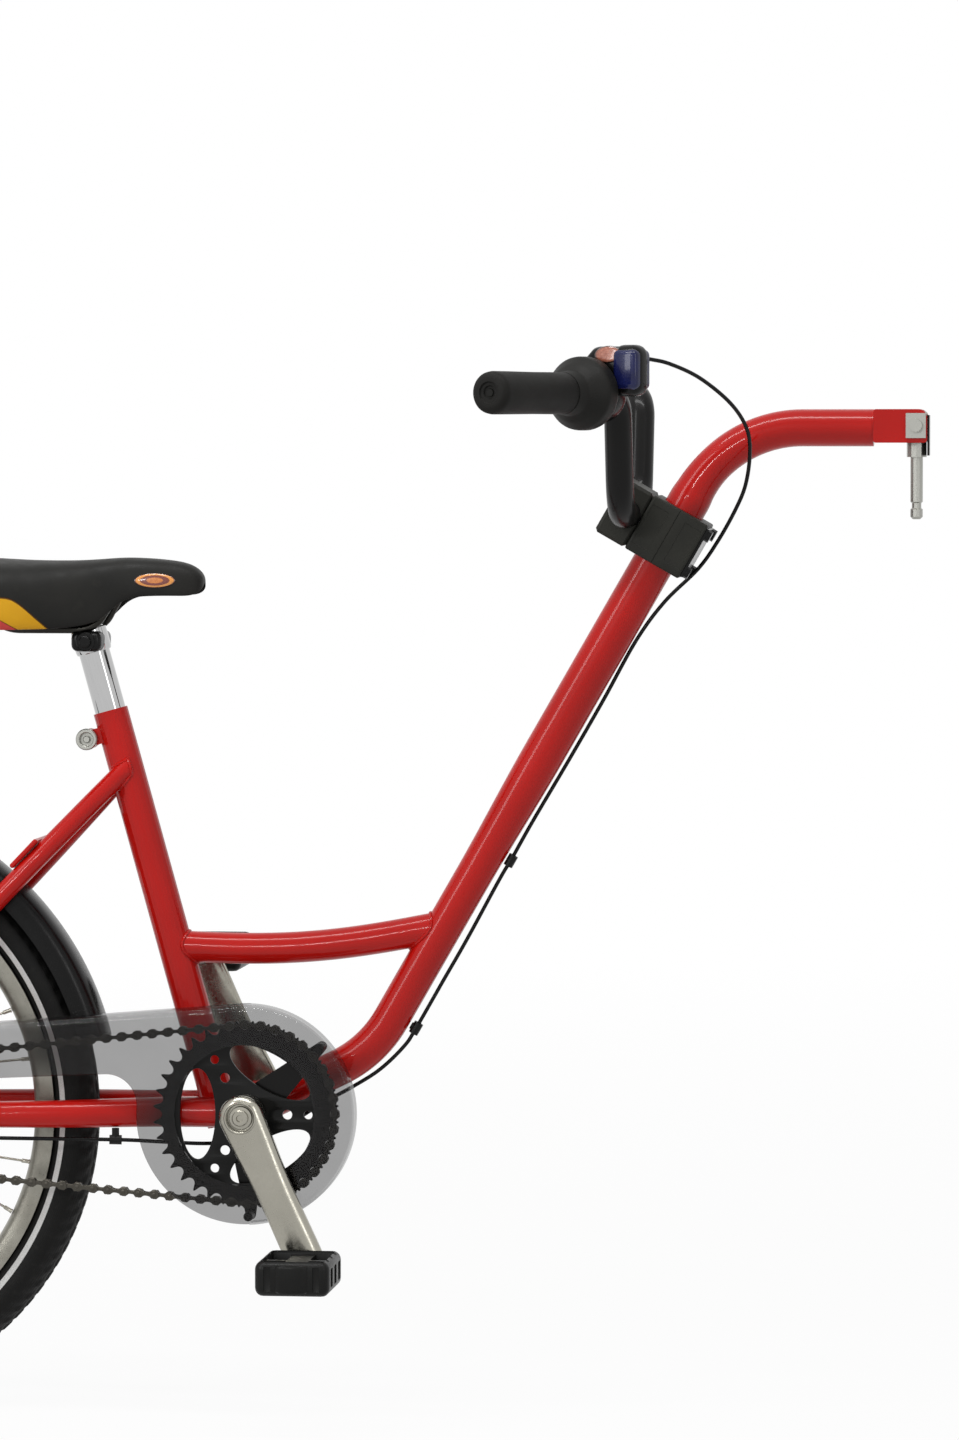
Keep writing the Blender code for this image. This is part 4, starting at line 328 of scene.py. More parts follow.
def window_painted_highlight():
    """Indicator window painted salmon. The salmon is a painted orange highlight on the shifter's top, and it
    fades to black round its edges.
    """
    make = Maker("window_painted_highlight")
    grain = make.noise(0.002, 3)
    salmon = make.mottle(grain, (0.30, 0.085, 0.050), (0.46, 0.17, 0.11))
    # The painted highlight fades to black towards the window's edge
    edge = make.remap(make.reach(0.0122, 0.0066), 0.80, 1.0, 0, 1)
    tone = make.blend(edge, salmon, (0.008, 0.007, 0.006))
    rough = make.remap(grain, 0.3, 0.7, 0.15, 0.25)
    return make.finish(tone, rough, Coat_Weight=0.6, Coat_Roughness=0.04)


red_paint = painted("red_paint", (0.47, 0.006, 0.0035))
steel = metal("zinc_steel", (0.38, 0.38, 0.35), 0.30, 0.0008)
dark_steel = metal("dark_steel", (0.030, 0.029, 0.026), 0.32, 0.0008, 0.3, 0.4)
chrome = metal("chrome", (0.50, 0.50, 0.50), 0.045, 0.001, 0.05, 0.05, (1, 1, 0.05))
alloy = metal("polished_alloy", (0.37, 0.355, 0.305), 0.20, 0.003, 0.012, 0.3)
spoke_steel = metal("spoke_steel", (0.36, 0.36, 0.35), 0.22)
rim_alloy = rim_metal()
black_paint = painted("black_paint", (0.0045, 0.0042, 0.004), 0.34, 0.15, 0.1)
black_plastic = plastic("black_plastic", (0.0075, 0.0075, 0.007), 0.36)
gloss_black = plastic("gloss_black_plastic", 0.005, 0.22, 0.002, 0.00004, 0.2, 0.3)
block_plastic = plastic("clamp_plastic", (0.02, 0.02, 0.0165), 0.50, 0.0012, 0.0001, 0.25, 0.6)
grip_rubber = plastic("grip_rubber", (0.008, 0.0076, 0.0066), 0.60, 0.0006, 0.00012, 0.2, 0.8)
chain_steel = metal("chain_steel", (0.070, 0.065, 0.055), 0.34, 0.0009, 0.4, 0.7)
link_steel = metal("master_link_steel", (0.30, 0.26, 0.19), 0.30, 0.0009, 0.4, 0.4)
sprocket_steel = metal("sprocket_steel", (0.14, 0.13, 0.12), 0.35, 0.0009, 0.4, 0.5)
ring_paint = painted("chainring_black", (0.005, 0.005, 0.0048), 0.38, 0.15, 0.35)
cable_sheath = plastic("cable_sheath", 0.004, 0.25, 0.002, 0.00003, 0.15, 0.3)
smoked_plastic = smoked()
tyre_black = tyre_rubber()
twist_black = twist_rubber()
vinyl = saddle_vinyl()
enamel = badge_enamel()
display_blue = display_plastic()
window_highlight = window_painted_highlight()

# The record's material slot that each finish belongs to
slot_finishes = {
    "frame_paint": [red_paint],
    "fastener_steel": [steel, spoke_steel, link_steel],
    "post_chrome": [chrome],
    "polished_alloy": [alloy, rim_alloy],
    "black_steel": [dark_steel, black_paint, chain_steel, sprocket_steel, ring_paint],
    "black_plastic": [black_plastic, gloss_black, block_plastic, cable_sheath, display_blue, window_highlight],
    "smoked_plastic": [smoked_plastic],
    "grip_rubber": [grip_rubber, twist_black],
    "tyre_rubber": [tyre_black],
    "saddle_cover": [vinyl, enamel],
}
finish_slot = {finish.name: slot for slot, finishes in slot_finishes.items() for finish in finishes}

# The finish of each CAD node; those of the stays are seen only where no piece stands for them
node_finishes = (
    (red_paint, "seat_tube bottom_bracket_shell chainstay_right chainstay_left seatstay_right seatstay_left"),
    (red_paint, "stay_bridge hitch_head"),
    (steel, "bearing_cup_right bearing_cup_left rear_axle axle_nut_right axle_nut_left coaster_arm"),
    (steel, "crank_spindle pedal_axle_right pedal_axle_left king_pin pivot_screw_right pivot_screw_left"),
    (gloss_black, "clamp_screws"),
    (sprocket_steel, "rear_sprocket"),
    (black_paint, "guard_bracket hitch_yoke safety_plate"),
    (block_plastic, "clamp_rear"),
    (black_plastic, "saddle_base shift_box cable_guide_1 cable_guide_2 cable_guide_3"),
)
for surface, names in node_finishes:
    for name in names.split():
        thing = nodes[name]
        if not thing.material_slots:
            thing.data.materials.append(surface)
        for item in thing.material_slots:
            item.material = surface

# Sharp edges of kept CAD nodes are rounded a little, so that they catch the light
for name in ("hitch_yoke", "coaster_arm", "stay_bridge", "king_pin", "axle_nut_right", "axle_nut_left"):
    bevel = nodes[name].modifiers.new("soft_edges", "BEVEL")
    bevel.width, bevel.segments = 0.0006, 2
    bevel.limit_method, bevel.angle_limit = "ANGLE", radians(50)
    bevel.harden_normals = True


# Shapes
def linked(name, data):
    """A new object of the data, in the scene."""
    thing = bpy.data.objects.new(name, data)
    bpy.context.scene.collection.objects.link(thing)
    return thing


def evaluated(thing):
    """The thing's mesh with its modifiers applied; the thing itself is removed."""
    bpy.context.view_layer.update()
    graph = bpy.context.evaluated_depsgraph_get()
    mesh = bpy.data.meshes.new_from_object(thing.evaluated_get(graph))
    bpy.data.objects.remove(thing, do_unlink=True)
    return mesh


def written(shape, mesh):
    """The mesh with what the bmesh holds."""
    shape.to_mesh(mesh)
    shape.free()
    return mesh


def mended(mesh, outwards=False):
    """Joins doubled points and, if asked, turns the faces outwards."""
    shape = bmesh.new()
    shape.from_mesh(mesh)
    bmesh.ops.remove_doubles(shape, verts=shape.verts, dist=0.000002)
    if outwards:
        bmesh.ops.recalc_face_normals(shape, faces=shape.faces)
    return written(shape, mesh)


def raw(name, spots, faces):
    """A mesh from computed points, with its faces turned outwards."""
    mesh = bpy.data.meshes.new(name)
    mesh.from_pydata([tuple(spot) for spot in spots], [], faces)
    return mended(mesh, True)


def grid(name, spots, rows, round_rows, round_columns, caps):
    """Four-cornered faces between equal rows of points; caps close the first row and the last."""
    count = len(spots) // rows
    faces = []
    for row in range(rows if round_rows else rows - 1):
        one, two = row * count, (row + 1) % rows * count
        for k in range(count if round_columns else count - 1):
            follow = (k + 1) % count
            faces.append((one + k, two + k, two + follow, one + follow))
    if caps:
        faces += [tuple(range(count)), tuple(range((rows - 1) * count, rows * count))]
    return raw(name, spots, faces)


def lathe(name, profile, steps=96, closed=False, start=0.0, span=2 * pi):
    """A profile of (radius, height) points turned about local Z."""
    whole = span >= 2 * pi
    rows = steps if whole else steps + 1
    turns = [start + span * row / steps for row in range(rows)]
    spots = [(radius * cos(turn), radius * sin(turn), height) for turn in turns for radius, height in profile]
    return grid(name, spots, rows, whole, closed, not whole)


def rings(name, loops, caps=True):
    """Joins closed loops of equal length one after another."""
    return grid(name, [spot for loop in loops for spot in loop], len(loops), False, True, caps)


def mirrored(half, *crown):
    """A profile from its half on one side of height zero, with any points at zero given by their radius."""
    other = [(radius, -height) for radius, height in reversed(half)]
    return [*half, *((radius, 0.0) for radius in crown), *other]


def mm(*points):
    """Points in metres from points in millimetres."""
    return [tuple(number / 1000 for number in point) for point in points]


def path_loops(path, radius, sides, scales):
    """Circles round the points of a path, with the path's direction at each."""
    last = len(path) - 1
    tangents = [(path[min(last, k + 1)] - path[max(0, k - 1)]).normalized() for k in range(last + 1)]
    side = tangents[0].orthogonal().normalized()
    turns = [2 * pi * k / sides for k in range(sides)]
    loops = []
    for spot, along, scale in zip(path, tangents, scales):
        side = (side - along * side.dot(along)).normalized()
        other = along.cross(side)
        loops.append([spot + radius * scale * (cos(turn) * side + sin(turn) * other) for turn in turns])
    return loops, tangents


def wire(name, path, radius):
    """A thin round bar along a path, cut square at its ends."""
    return rings(name, path_loops(path, radius, 10, [1.0] * len(path))[0])


def corner_arc(before, corner, after, radius, steps=8):
    corner = Vector(corner)
    back, on = (Vector(before) - corner).normalized(), (Vector(after) - corner).normalized()
    half = back.angle(on) / 2
    reach = radius / tan(half)
    middle = corner + (back + on).normalized() * radius / sin(half)
    start, end = corner + back * reach - middle, corner + on * reach - middle
    span = start.angle(end)
    shares = [step / steps for step in range(steps + 1)]
    return [middle + (sin((1 - s) * span) * start + sin(s * span) * end) / sin(span) for s in shares]


def filleted(corners, radii, steps=8):
    """A path from corner to corner, with each inner corner rounded."""
    points = [Vector(corners[0])]
    for before, corner, after, radius in zip(corners, corners[1:], corners[2:], radii):
        points += corner_arc(before, corner, after, radius, steps)
    return [*points, Vector(corners[-1])]


def blended(points, steps):
    """Points of a smooth curve through a route's own points."""
    route = [Vector(point) for point in points]
    route = [2 * route[0] - route[1], *route, 2 * route[-1] - route[-2]]
    found = []
    for a, b, c, d in zip(route, route[1:], route[2:], route[3:]):
        for t in (step / steps for step in range(steps)):
            bend = (2 * a - 5 * b + 4 * c - d) * t**2 + (3 * b - a - 3 * c + d) * t**3
            found.append(0.5 * (2 * b + (c - a) * t + bend))
    return [*found, route[-2]]


def circle(radius, count, centre=(0, 0), start=0.0, span=2 * pi):
    last = count if span >= 2 * pi else count - 1
    turns = [start + span * k / last for k in range(count)]
    return [(centre[0] + radius * cos(turn), centre[1] + radius * sin(turn)) for turn in turns]


def plate(name, loops, thickness, bevel=0.0003, segments=1):
    """A flat outline with holes in local XY, with rounded edges."""
    curve = bpy.data.curves.new(name, "CURVE")
    curve.dimensions, curve.fill_mode = "2D", "BOTH"
    curve.extrude, curve.offset = thickness / 2 - bevel, -bevel
    curve.bevel_depth, curve.bevel_resolution = bevel, segments
    for points in loops:
        spline = curve.splines.new("POLY")
        spline.points.add(len(points) - 1)
        for spot, (x, y) in zip(spline.points, points):
            spot.co = (x, y, 0, 1)
        spline.use_cyclic_u = True
    return mended(evaluated(linked(name, curve)))


def shift(x, y, z):
    return Matrix.Translation((x, y, z))


def at(location, direction=Z):
    turned = Vector(direction).to_track_quat("Z", "Y").to_matrix().to_4x4()
    return Matrix.Translation(Vector(location)) @ turned


still = Matrix()
side_view = Matrix.Rotation(pi / 2, 4, "X")


def joined(name, parts):
    """One mesh from (mesh, matrix) pairs; a third entry gives the material's number."""
    shape = bmesh.new()
    for mesh, matrix, *number in parts:
        verts_before, faces_before = len(shape.verts), len(shape.faces)
        shape.from_mesh(mesh)
        shape.verts.ensure_lookup_table()
        shape.faces.ensure_lookup_table()
        for vert in shape.verts[verts_before:]:
            vert.co = matrix @ vert.co
        for face in shape.faces[faces_before:]:
            face.material_index = number[0] if number else 0
    return written(shape, bpy.data.meshes.new(name))


def settle(name, mesh, surfaces, body, replaced=(), matrix=None, angle=40):
    """Puts a finished mesh in the scene, on its body and in place of the CAD nodes it stands for."""
    thing = linked(name, mesh)
    if matrix:
        thing.matrix_world = matrix
    mesh.materials.clear()
    for surface in surfaces if isinstance(surfaces, list) else [surfaces]:
        mesh.materials.append(surface)
    mesh.shade_smooth()
    mesh.set_sharp_from_angle(angle=radians(angle))
    bpy.context.view_layer.update()
    if body:
        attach(thing, body)
    if replaced:
        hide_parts(*replaced)
    return thing


# The frame's tubes, with a weld bead round each joint
drawbar_slope = atan2(drawbar_along.z, drawbar_along.x)
drawbar_bend, drawbar_run = 0.100, 0.586
upper_point = clamp_centre + (drawbar_bend * tan(drawbar_slope / 2) + 0.0430) * drawbar_along
lower_point = upper_point - drawbar_run * drawbar_along
seat_back = Vector((-seat_up.z, 0, seat_up.x))
seat_tube_setback, seat_tube_length = 0.0268, 0.345
seat_foot = bracket + seat_tube_setback * seat_back
seat_top = seat_foot + seat_tube_length * seat_up
seatstay_top = seat_top - 0.050 * seat_up
seatstay_along = (seatstay_top - axle).normalized()
seatstay_slope = atan2(seatstay_along.z, seatstay_along.x)
seatstay_normal = Vector((-sin(seatstay_slope), 0, cos(seatstay_slope)))
tube_gap = 0.0003
shell_radius, seat_tube_radius, drawbar_radius = 0.020, 0.0143, 0.0150
brace_radius, chainstay_radius, seatstay_radius = 0.0127, 0.0125, 0.008
axle_radius, dropout_across, dropout_middle, dropout_thickness = 0.0095 / 2, 0.0612, 0.0615, 0.005
sides = ((-1, "right"), (1, "left"))

# Round tubes that others end on: a point of the middle line, its direction and the radius with the gap
shell_tube = (bracket, Y, shell_radius + tube_gap)
seat_tube_line = (seat_foot, seat_up, seat_tube_radius + tube_gap)
drawbar_line = (upper_point, drawbar_along, drawbar_radius + tube_gap)
beads = []


def slid(place, direction, onto):
    """Slides a place along a direction to the near side of a round tube's surface."""
    middle, axis, radius = onto
    offset = place - middle
    offset -= offset.dot(axis) * axis
    along = direction - direction.dot(axis) * axis
    a, b, c = along.dot(along), offset.dot(along), offset.dot(offset) - radius * radius
    return place + (sqrt(max(0.0, b * b - a * c)) - b) / a * direction


def tube(name, path, radius, count=28, scales=None, starts_on=None, ends_on=None):
    """A round tube along a path; an end that meets another tube follows its surface and gets a bead."""
    path = [Vector(spot) for spot in path]
    scales = list(scales) if scales else [1.0] * len(path)
    for onto, end in ((starts_on, 0), (ends_on, -1)):
        while onto:
            offset = path[end] - onto[0]
            if (offset - offset.dot(onto[1]) * onto[1]).length > onto[2] + 0.003:
                break
            path.pop(end)
            scales.pop(end)
    loops, tangents = path_loops(path, radius, count, scales)
    for onto, end, direction in ((starts_on, 0, tangents[0]), (ends_on, -1, -tangents[-1])):
        rows = []
        for factor in (1.0, 0.7, 0.4, 0.05) if onto else (0.96, 0.6, 0.05):
            row = [path[end] + factor * (spot - path[end]) for spot in loops[end]]
            rows.append([slid(spot, direction, onto) for spot in row] if onto else row)
        if onto:
            beads.append(rows[0])
        loops = rows[::-1] + loops if end == 0 else loops + rows
    return rings(name, loops)


def weld_bead(loop, radius=0.0014, steps=3):
    """A thin ring along a closed loop, rippled like a weld."""
    fine = []
    for one, two in zip(loop, [*loop[1:], loop[0]]):
        fine += [one.lerp(two, step / steps) for step in range(steps)]
    centre = sum(fine, Vector()) / len(fine)
    turns = [2 * pi * k / 8 for k in range(8)]
    loops = []
    for k, spot in enumerate(fine):
        along = (fine[(k + 1) % len(fine)] - fine[k - 1]).normalized()
        side = (spot - centre - along * (spot - centre).dot(along)).normalized()
        other = along.cross(side)
        size = radius * (1 + 0.12 * sin(k * 2.1))
        loops.append([spot + size * (cos(turn) * side + sin(turn) * other) for turn in turns])
    return rings("bead", [*loops, loops[0]], caps=False)


def drawbar_route():
    """The drawbar's centre line from the hitch to the bottom bracket, each point with its swell."""
    front = Vector((-0.0345, 0, 0.0235))
    full = 0.017 / drawbar_radius
    taper_start, taper_length = 0.302, 0.122
    bend = corner_arc(front, upper_point, lower_point, drawbar_bend, 24)
    places = [front, *bend, *(bend[-1] - step / 6 * 0.010 * drawbar_along for step in range(1, 7))]
    swell = [0.0] * 18 + [(1 - cos(pi * k / 13)) / 2 for k in range(14)]
    route = [(spot, 1 + (full - 1) * share) for spot, share in zip(places, swell)]
    for share in (step / 16 for step in range(17)):
        spot = upper_point - (taper_start + share * taper_length) * drawbar_along
        route.append((spot, full + (1 - full) * (1 - cos(pi * share)) / 2))
    tail = corner_arc(upper_point, lower_point, bracket, drawbar_bend, 12)
    tail += [tail[-1].lerp(bracket, step / 12) for step in range(1, 12)]
    return route + [(spot, 1.0) for spot in tail]


path, sizes = zip(*drawbar_route())
drawbar = tube("drawbar_tube", path, drawbar_radius, 40, sizes, None, shell_tube)
settle("drawbar_tube", drawbar, red_paint, "frame", ["drawbar"])

# The brace tube, a shallow curve from the seat tube to the drawbar
brace_rise, brace_drop = 0.1454, 0.467
start = seat_foot + brace_rise * seat_up
end = upper_point - brace_drop * drawbar_along
reach = 0.40 * (end - start).length
one = start + reach * Vector((cos(radians(-3)), 0, sin(radians(-3))))
two = end - reach * Vector((cos(radians(12)), 0, sin(radians(12))))
path = []
for t in (step / 60 for step in range(61)):
    path.append((1 - t) ** 3 * start + 3 * (1 - t) ** 2 * t * one + 3 * (1 - t) * t * t * two + t**3 * end)
brace = tube("brace_curve", path, brace_radius, 36, None, seat_tube_line, drawbar_line)
settle("brace_curve", brace, red_paint, "frame", ["brace_tube"])


def hull_outline(circles, count=20):
    """The rounded outline round several circles, each given as (centre, radius)."""
    shape = bmesh.new()
    verts = []
    for (x, y), radius in circles:
        for turn in (2 * pi * k / count for k in range(count)):
            verts.append(shape.verts.new((x + radius * cos(turn), y + radius * sin(turn), 0)))
    result = bmesh.ops.convex_hull(shape, input=verts)
    keep = {vert for vert in result["geom"] if isinstance(vert, bmesh.types.BMVert)}
    centre = sum((vert.co for vert in keep), Vector()) / len(keep)
    spots = [(vert.co.x, vert.co.y) for vert in keep]
    shape.free()
    return sorted(spots, key=lambda spot: atan2(spot[1] - centre.y, spot[0] - centre.x))


def side_spot(place):
    return (place.x, place.z)


def at_side(across):
    return shift(0, across, 0) @ side_view


def carve(mesh, *tools):
    """The mesh with each (tool mesh, matrix) taken away from it."""
    thing = linked("carved", mesh)
    helpers = []
    for tool, matrix in tools:
        helpers.append(linked("tool", tool))
        helpers[-1].matrix_world = matrix
        cut = thing.modifiers.new("cut", "BOOLEAN")
        cut.operation, cut.solver, cut.object = "DIFFERENCE", "EXACT", helpers[-1]
    result = mended(evaluated(thing))
    for helper in helpers:
        bpy.data.objects.remove(helper, do_unlink=True)
    result.materials.clear()
    return result


def drum(radius, length, steps=40, edge=0.0):
    """A cylinder about local Z, centred, with a small edge radius."""
    half, small = length / 2, 0.3 * edge
    top = [(radius, half)]
    if edge:
        top = [(radius - edge, half), (radius - small, half - small), (radius, half - edge)]
    return lathe("drum", mirrored([(0, half), *top]), steps)


def block(size, edge=0.001, segments=3):
    """A box with rounded edges, centred."""
    shape = bmesh.new()
    bmesh.ops.create_cube(shape, size=1, matrix=Matrix.Diagonal((*size, 1)))
    if edge:
        how = {"profile": 0.5, "affect": "EDGES", "clamp_overlap": True}
        bmesh.ops.bevel(shape, geom=shape.edges[:], offset=edge, segments=segments, **how)
    return written(shape, bpy.data.meshes.new("block"))


def dropout(name, thickness, edge, segments):
    """The plate that holds the axle and joins the two stays of one side."""
    spot = Vector(side_spot(axle))
    above = spot + 0.030 * Vector((cos(seatstay_slope), sin(seatstay_slope)))
    outline = hull_outline([(spot, 0.0150), (spot + Vector((0.034, 0)), 0.0075), (above, 0.0070)], 40)
    return plate(name, [outline], thickness, edge, segments)


# The stays of each side, with the dropout that joins them
chainstay_taper = 0.017 / 0.025 - 1
for side, word in sides:
    root = bracket + side * 0.0290 * Y
    path = [root]
    for back, out in mm((70, 0), (110, 7.5), (155, 16.5), (215, 21.5)):
        path.append(root - back * X + side * out * Y)
    path.append(axle + 0.026 * X + side * dropout_across * Y)
    for spot in path:
        spot.z = root.z - (bracket.z - axle.z) * (root.x - spot.x) / centre_distance
    path = blended(path, 9)
    sizes = [1 + chainstay_taper * min(1, (root.x - spot.x) / centre_distance) ** 1.3 for spot in path]
    stay = tube("stay", path, chainstay_radius, 28, sizes, shell_tube)
    place = at_side(side * dropout_middle)
    slot = (block((0.040, 0.0101, 0.03), 0), shift(axle.x - 0.020, axle.z, 0))
    seat = (drum(axle_radius + tube_gap, 0.03, 32), shift(axle.x, axle.z, 0))
    ends = carve(dropout("dropout", dropout_thickness, 0.0005, 1), slot, seat)
    whole = joined(f"chainstay_{word}", [(stay, still), (ends, place)])
    settle(f"chainstay_tube_{word}", whole, red_paint, "frame", [f"chainstay_{word}"])

    path = []
    spreads = ((0.0, 0.0100), (0.12, 0.02325), (0.30, 0.0365), (0.65, 0.04885), (1.0, dropout_across))
    for share, spread in spreads:
        path.append(seatstay_top.lerp(axle + 0.019 * seatstay_along, share) + side * spread * Y)
    stay = tube("stay", blended(path, 12), seatstay_radius, 28, None, seat_tube_line)
    other_side = (block((0.1, 0.02, 0.1), 0), Matrix.Translation(seatstay_top - side * 0.0099 * Y))
    cut = dropout("dropout_cut", dropout_thickness + 2 * tube_gap, 0.0001, 0)
    stay = carve(stay, other_side, (cut, place))
    settle(f"seatstay_tube_{word}", stay, red_paint, "frame", [f"seatstay_{word}"])

# The seat tube itself is the CAD node; only the bead round its foot is made here
path = [bracket + k * 0.01 * seat_up + seat_tube_setback * seat_back for k in range(1, 8)]
tube("foot", path, seat_tube_radius, 36, None, shell_tube)
settle("weld_beads", joined("weld_beads", [(weld_bead(loop), still) for loop in beads]), red_paint, "frame")


# The wheel
wheel_radius = 0.245


def tyre_shape():
    """The tyre, with its side walls open inwards and tread blocks pressed into its crown."""
    flank = mm((206.5, 10.5), (210.8, 11.8), (214, 17.2), (218, 20.7), (222.5, 22.9), (227.5, 23.5))
    flank += mm((232.5, 22.2), (237.5, 18.6), (241.2, 13.8), (243.6, 9), (244.7, 4.5), (245, 0))
    outside = [tuple(spot) for spot in blended(flank, 3)][:-1]
    inside = mm((206.5, -7), (212, -8.5), (220, -18.5), (229, -19.8), (237, -14))
    steps = 560
    mesh = lathe("tyre_tread", mirrored(outside, wheel_radius) + mirrored(inside, 0.240), steps, True)
    for vert in mesh.vertices:
        radius, across = sqrt(vert.co.x**2 + vert.co.y**2), abs(vert.co.z)
        if radius < 0.2335 or across > 0.0205 or (radius < 0.2402 and across < 0.0142):
            continue
        column = round(atan2(vert.co.y, vert.co.x) / (2 * pi / steps)) % 5
        if across > 0.0125:
            deep = 0.0014 if column in (0, 1) else 0.0
        elif across >= 0.0062:
            deep = 0.0012 if column in (2, 3) else 0.0
        elif across > 0.0030:
            deep = 0.0012
        else:
            deep = 0.0010 if column == 0 else 0.0
        vert.co.x *= (radius - deep) / radius
        vert.co.y *= (radius - deep) / radius
    return mesh


settle("tyre_tread", tyre_shape(), tyre_black, "wheel", ["tyre"], at(axle, Y), 50)
rim_half = mm((210, 12.8), (209.6, 13.4), (208.8, 13.5), (204, 13.5), (199.5, 13.2))
rim_half += mm((197.2, 12.4), (195, 10.4), (193.2, 7.8), (192.1, 4.5), (191.5, 1.2))
well = mm((210, -11.9), (206, -11.7), (202.2, -11.2), (199.5, -7.5), (198.5, -1))
rim = lathe("rim_section", mirrored(rim_half) + mirrored(well), 200, True)
settle("rim_section", rim, rim_alloy, "wheel", ["rim"], at(axle, Y), 35)


def hub_and_spokes():
    """The hub shell with 28 crossed spokes, each with its elbow, head and nipple."""
    half = mm(
        (5.3, 38.8), (10, 38.8), (14.5, 38.2), (15.8, 37), (15.8, 33.5), (19.5, 32.8), (20.8, 32),
        (27, 31), (28.5, 30.4),
    )
    half += mm(
        (29, 29.4), (29, 28.2), (28.3, 27.3), (22.5, 26.6), (21.2, 25.6), (20.8, 23), (20, 19), (19.6, 14),
    )
    parts = [(lathe("hub", mirrored(half, 0.0196), 72, True), still, 0)]
    head_profile = mm((0, 1.1), (1.3, 0.9), (2, 0), (1.3, -0.2), (0, -0.2))
    nipple_profile = mm((0, 7.6), (1.1, 7.5), (1.7, 7), (1.7, 1.5), (2, 1), (2, 0), (0, 0))
    flange_across, hole_radius, rim_reach, spokes = 0.029, 0.025, 0.1913, 28
    for number in range(spokes):
        side = 1 if number % 2 else -1
        trailing = 1 if (number // 2) % 2 else -1
        outer = number * 2 * pi / spokes
        inner = outer + trailing * radians(48)
        across = side * (flange_across + trailing * 0.0018)
        start = Vector((hole_radius * cos(inner), hole_radius * sin(inner), across))
        end = Vector((rim_reach * cos(outer), rim_reach * sin(outer), side * 0.003))
        line = (end - start).normalized()
        head = Vector((start.x, start.y, side * (flange_across - trailing * 0.0024)))
        parts.append((wire("spoke", [start, start.lerp(end, 0.5), end], 0.0010), still, 1))
        parts.append((wire("elbow", [head, start - 0.0002 * line, start + 0.0015 * line], 0.0012), still, 1))
        parts.append((lathe("head", head_profile, 12), at(head, side * -trailing * Z), 1))
        parts.append((lathe("nipple", nipple_profile, 10), at(end, -line), 2))
    return joined("hub_spokes", parts)


hub = hub_and_spokes()
settle("hub_spokes", hub, [alloy, spoke_steel, chrome], "wheel", ["hub_with_spokes"], at(axle, Y))
valve_profile = mm(
    (0, 0), (3.3, 0), (3.3, 6), (2.8, 8), (2.6, 20), (3.6, 21), (3.8, 22.5), (3.8, 30.5), (3, 33),
    (0, 33.2),
)
valve_turn = radians(128)
valve_out = Vector((cos(valve_turn), 0, sin(valve_turn)))
valve_place = at(axle + 0.1925 * valve_out, -valve_out)
settle("valve", lathe("valve", valve_profile, 20), gloss_black, "wheel", (), valve_place)


# The drive
def wrapped_pins(radius, teeth, start, count, middle):
    turns = [start + k * 2 * pi / teeth for k in range(count)]
    return [Vector((radius * cos(turn) + middle, radius * sin(turn))) for turn in turns]


def chain_pins():
    """The chain's pins along the line of centres: round the ring, back, round the sprocket, forward."""
    ring = wrapped_pins(ring_radius, ring_teeth, -pi / 2, 19, 0)
    rear = wrapped_pins(sprocket_radius, sprocket_teeth, pi - 8 * pi / sprocket_teeth, 9, -centre_distance)
    ends = ((ring[-1], rear[0]), (rear[-1], ring[0]))
    upper, lower = ([one.lerp(two, k / 30) for k in range(1, 30)] for one, two in ends)
    return [*ring, *upper, *rear, *lower]


def link_plate(bulge, waist, count=9):
    """A link plate: two rounded ends and a drawn-in waist."""
    points = []
    for end in (1, -1):
        middle, start = end * pitch / 2, radians(28 - 90 * end)
        for turn in (start + radians(124) * k / (count - 1) for k in range(count)):
            points.append((middle + bulge * cos(turn), bulge * sin(turn)))
        points += [(0.18 * middle, end * waist), (-0.18 * middle, end * waist)]
    return plate("link_plate", [points], 0.0009, 0.0002, 0)


def make_chain():
    pins = chain_pins()
    plates = ((link_plate(0.0040, 0.0013), 0.00215), (link_plate(0.0041, 0.0014), 0.00305))
    roller = drum(roller_radius, 0.0034, 18, 0.0004)
    pin_head = drum(0.0018, 0.0076, 12, 0.0004)
    parts = []
    for index, pin in enumerate(pins):
        after = pins[(index + 1) % len(pins)]
        line, middle = after - pin, (pin + after) / 2
        turn = Matrix.Rotation(atan2(line.y, line.x), 4, "Z")
        shape, across = plates[index % 2]
        for side in (-1, 1):
            parts.append((shape, shift(middle.x, middle.y, side * across) @ turn, 0))
        parts += [(roller, shift(pin.x, pin.y, 0), 0), (pin_head, shift(pin.x, pin.y, 0), 1)]
    return joined("chain_links", parts)


chain_place = Matrix.Translation(bracket - chain_line * Y) @ side_view
links_place = chain_place @ Matrix.Rotation(centre_tilt, 4, "Z")
settle("chain_links", make_chain(), [chain_steel, link_steel], "frame", ["chain"], links_place)


def tooth_loop(teeth, radius, start):
    """A chainring's outline: a round seat for each roller between rounded teeth."""
    seat, tip = roller_radius + tube_gap, radius + 0.0031
    points = []
    for angle in (start + number * 2 * pi / teeth for number in range(teeth)):
        centre = Vector((radius * cos(angle), radius * sin(angle)))
        for turn in (62, 45, 27, 9, -9, -27, -45, -62):
            direction = angle + pi + radians(turn)
            points.append(tuple(centre + seat * Vector((cos(direction), sin(direction)))))
        for share, drop in ((0.43, 0.0008), (0.47, 0.0), (0.53, 0.0), (0.57, 0.0008)):
            turn = angle + 2 * pi / teeth * share
            points.append(((tip - drop) * cos(turn), (tip - drop) * sin(turn)))
    return points


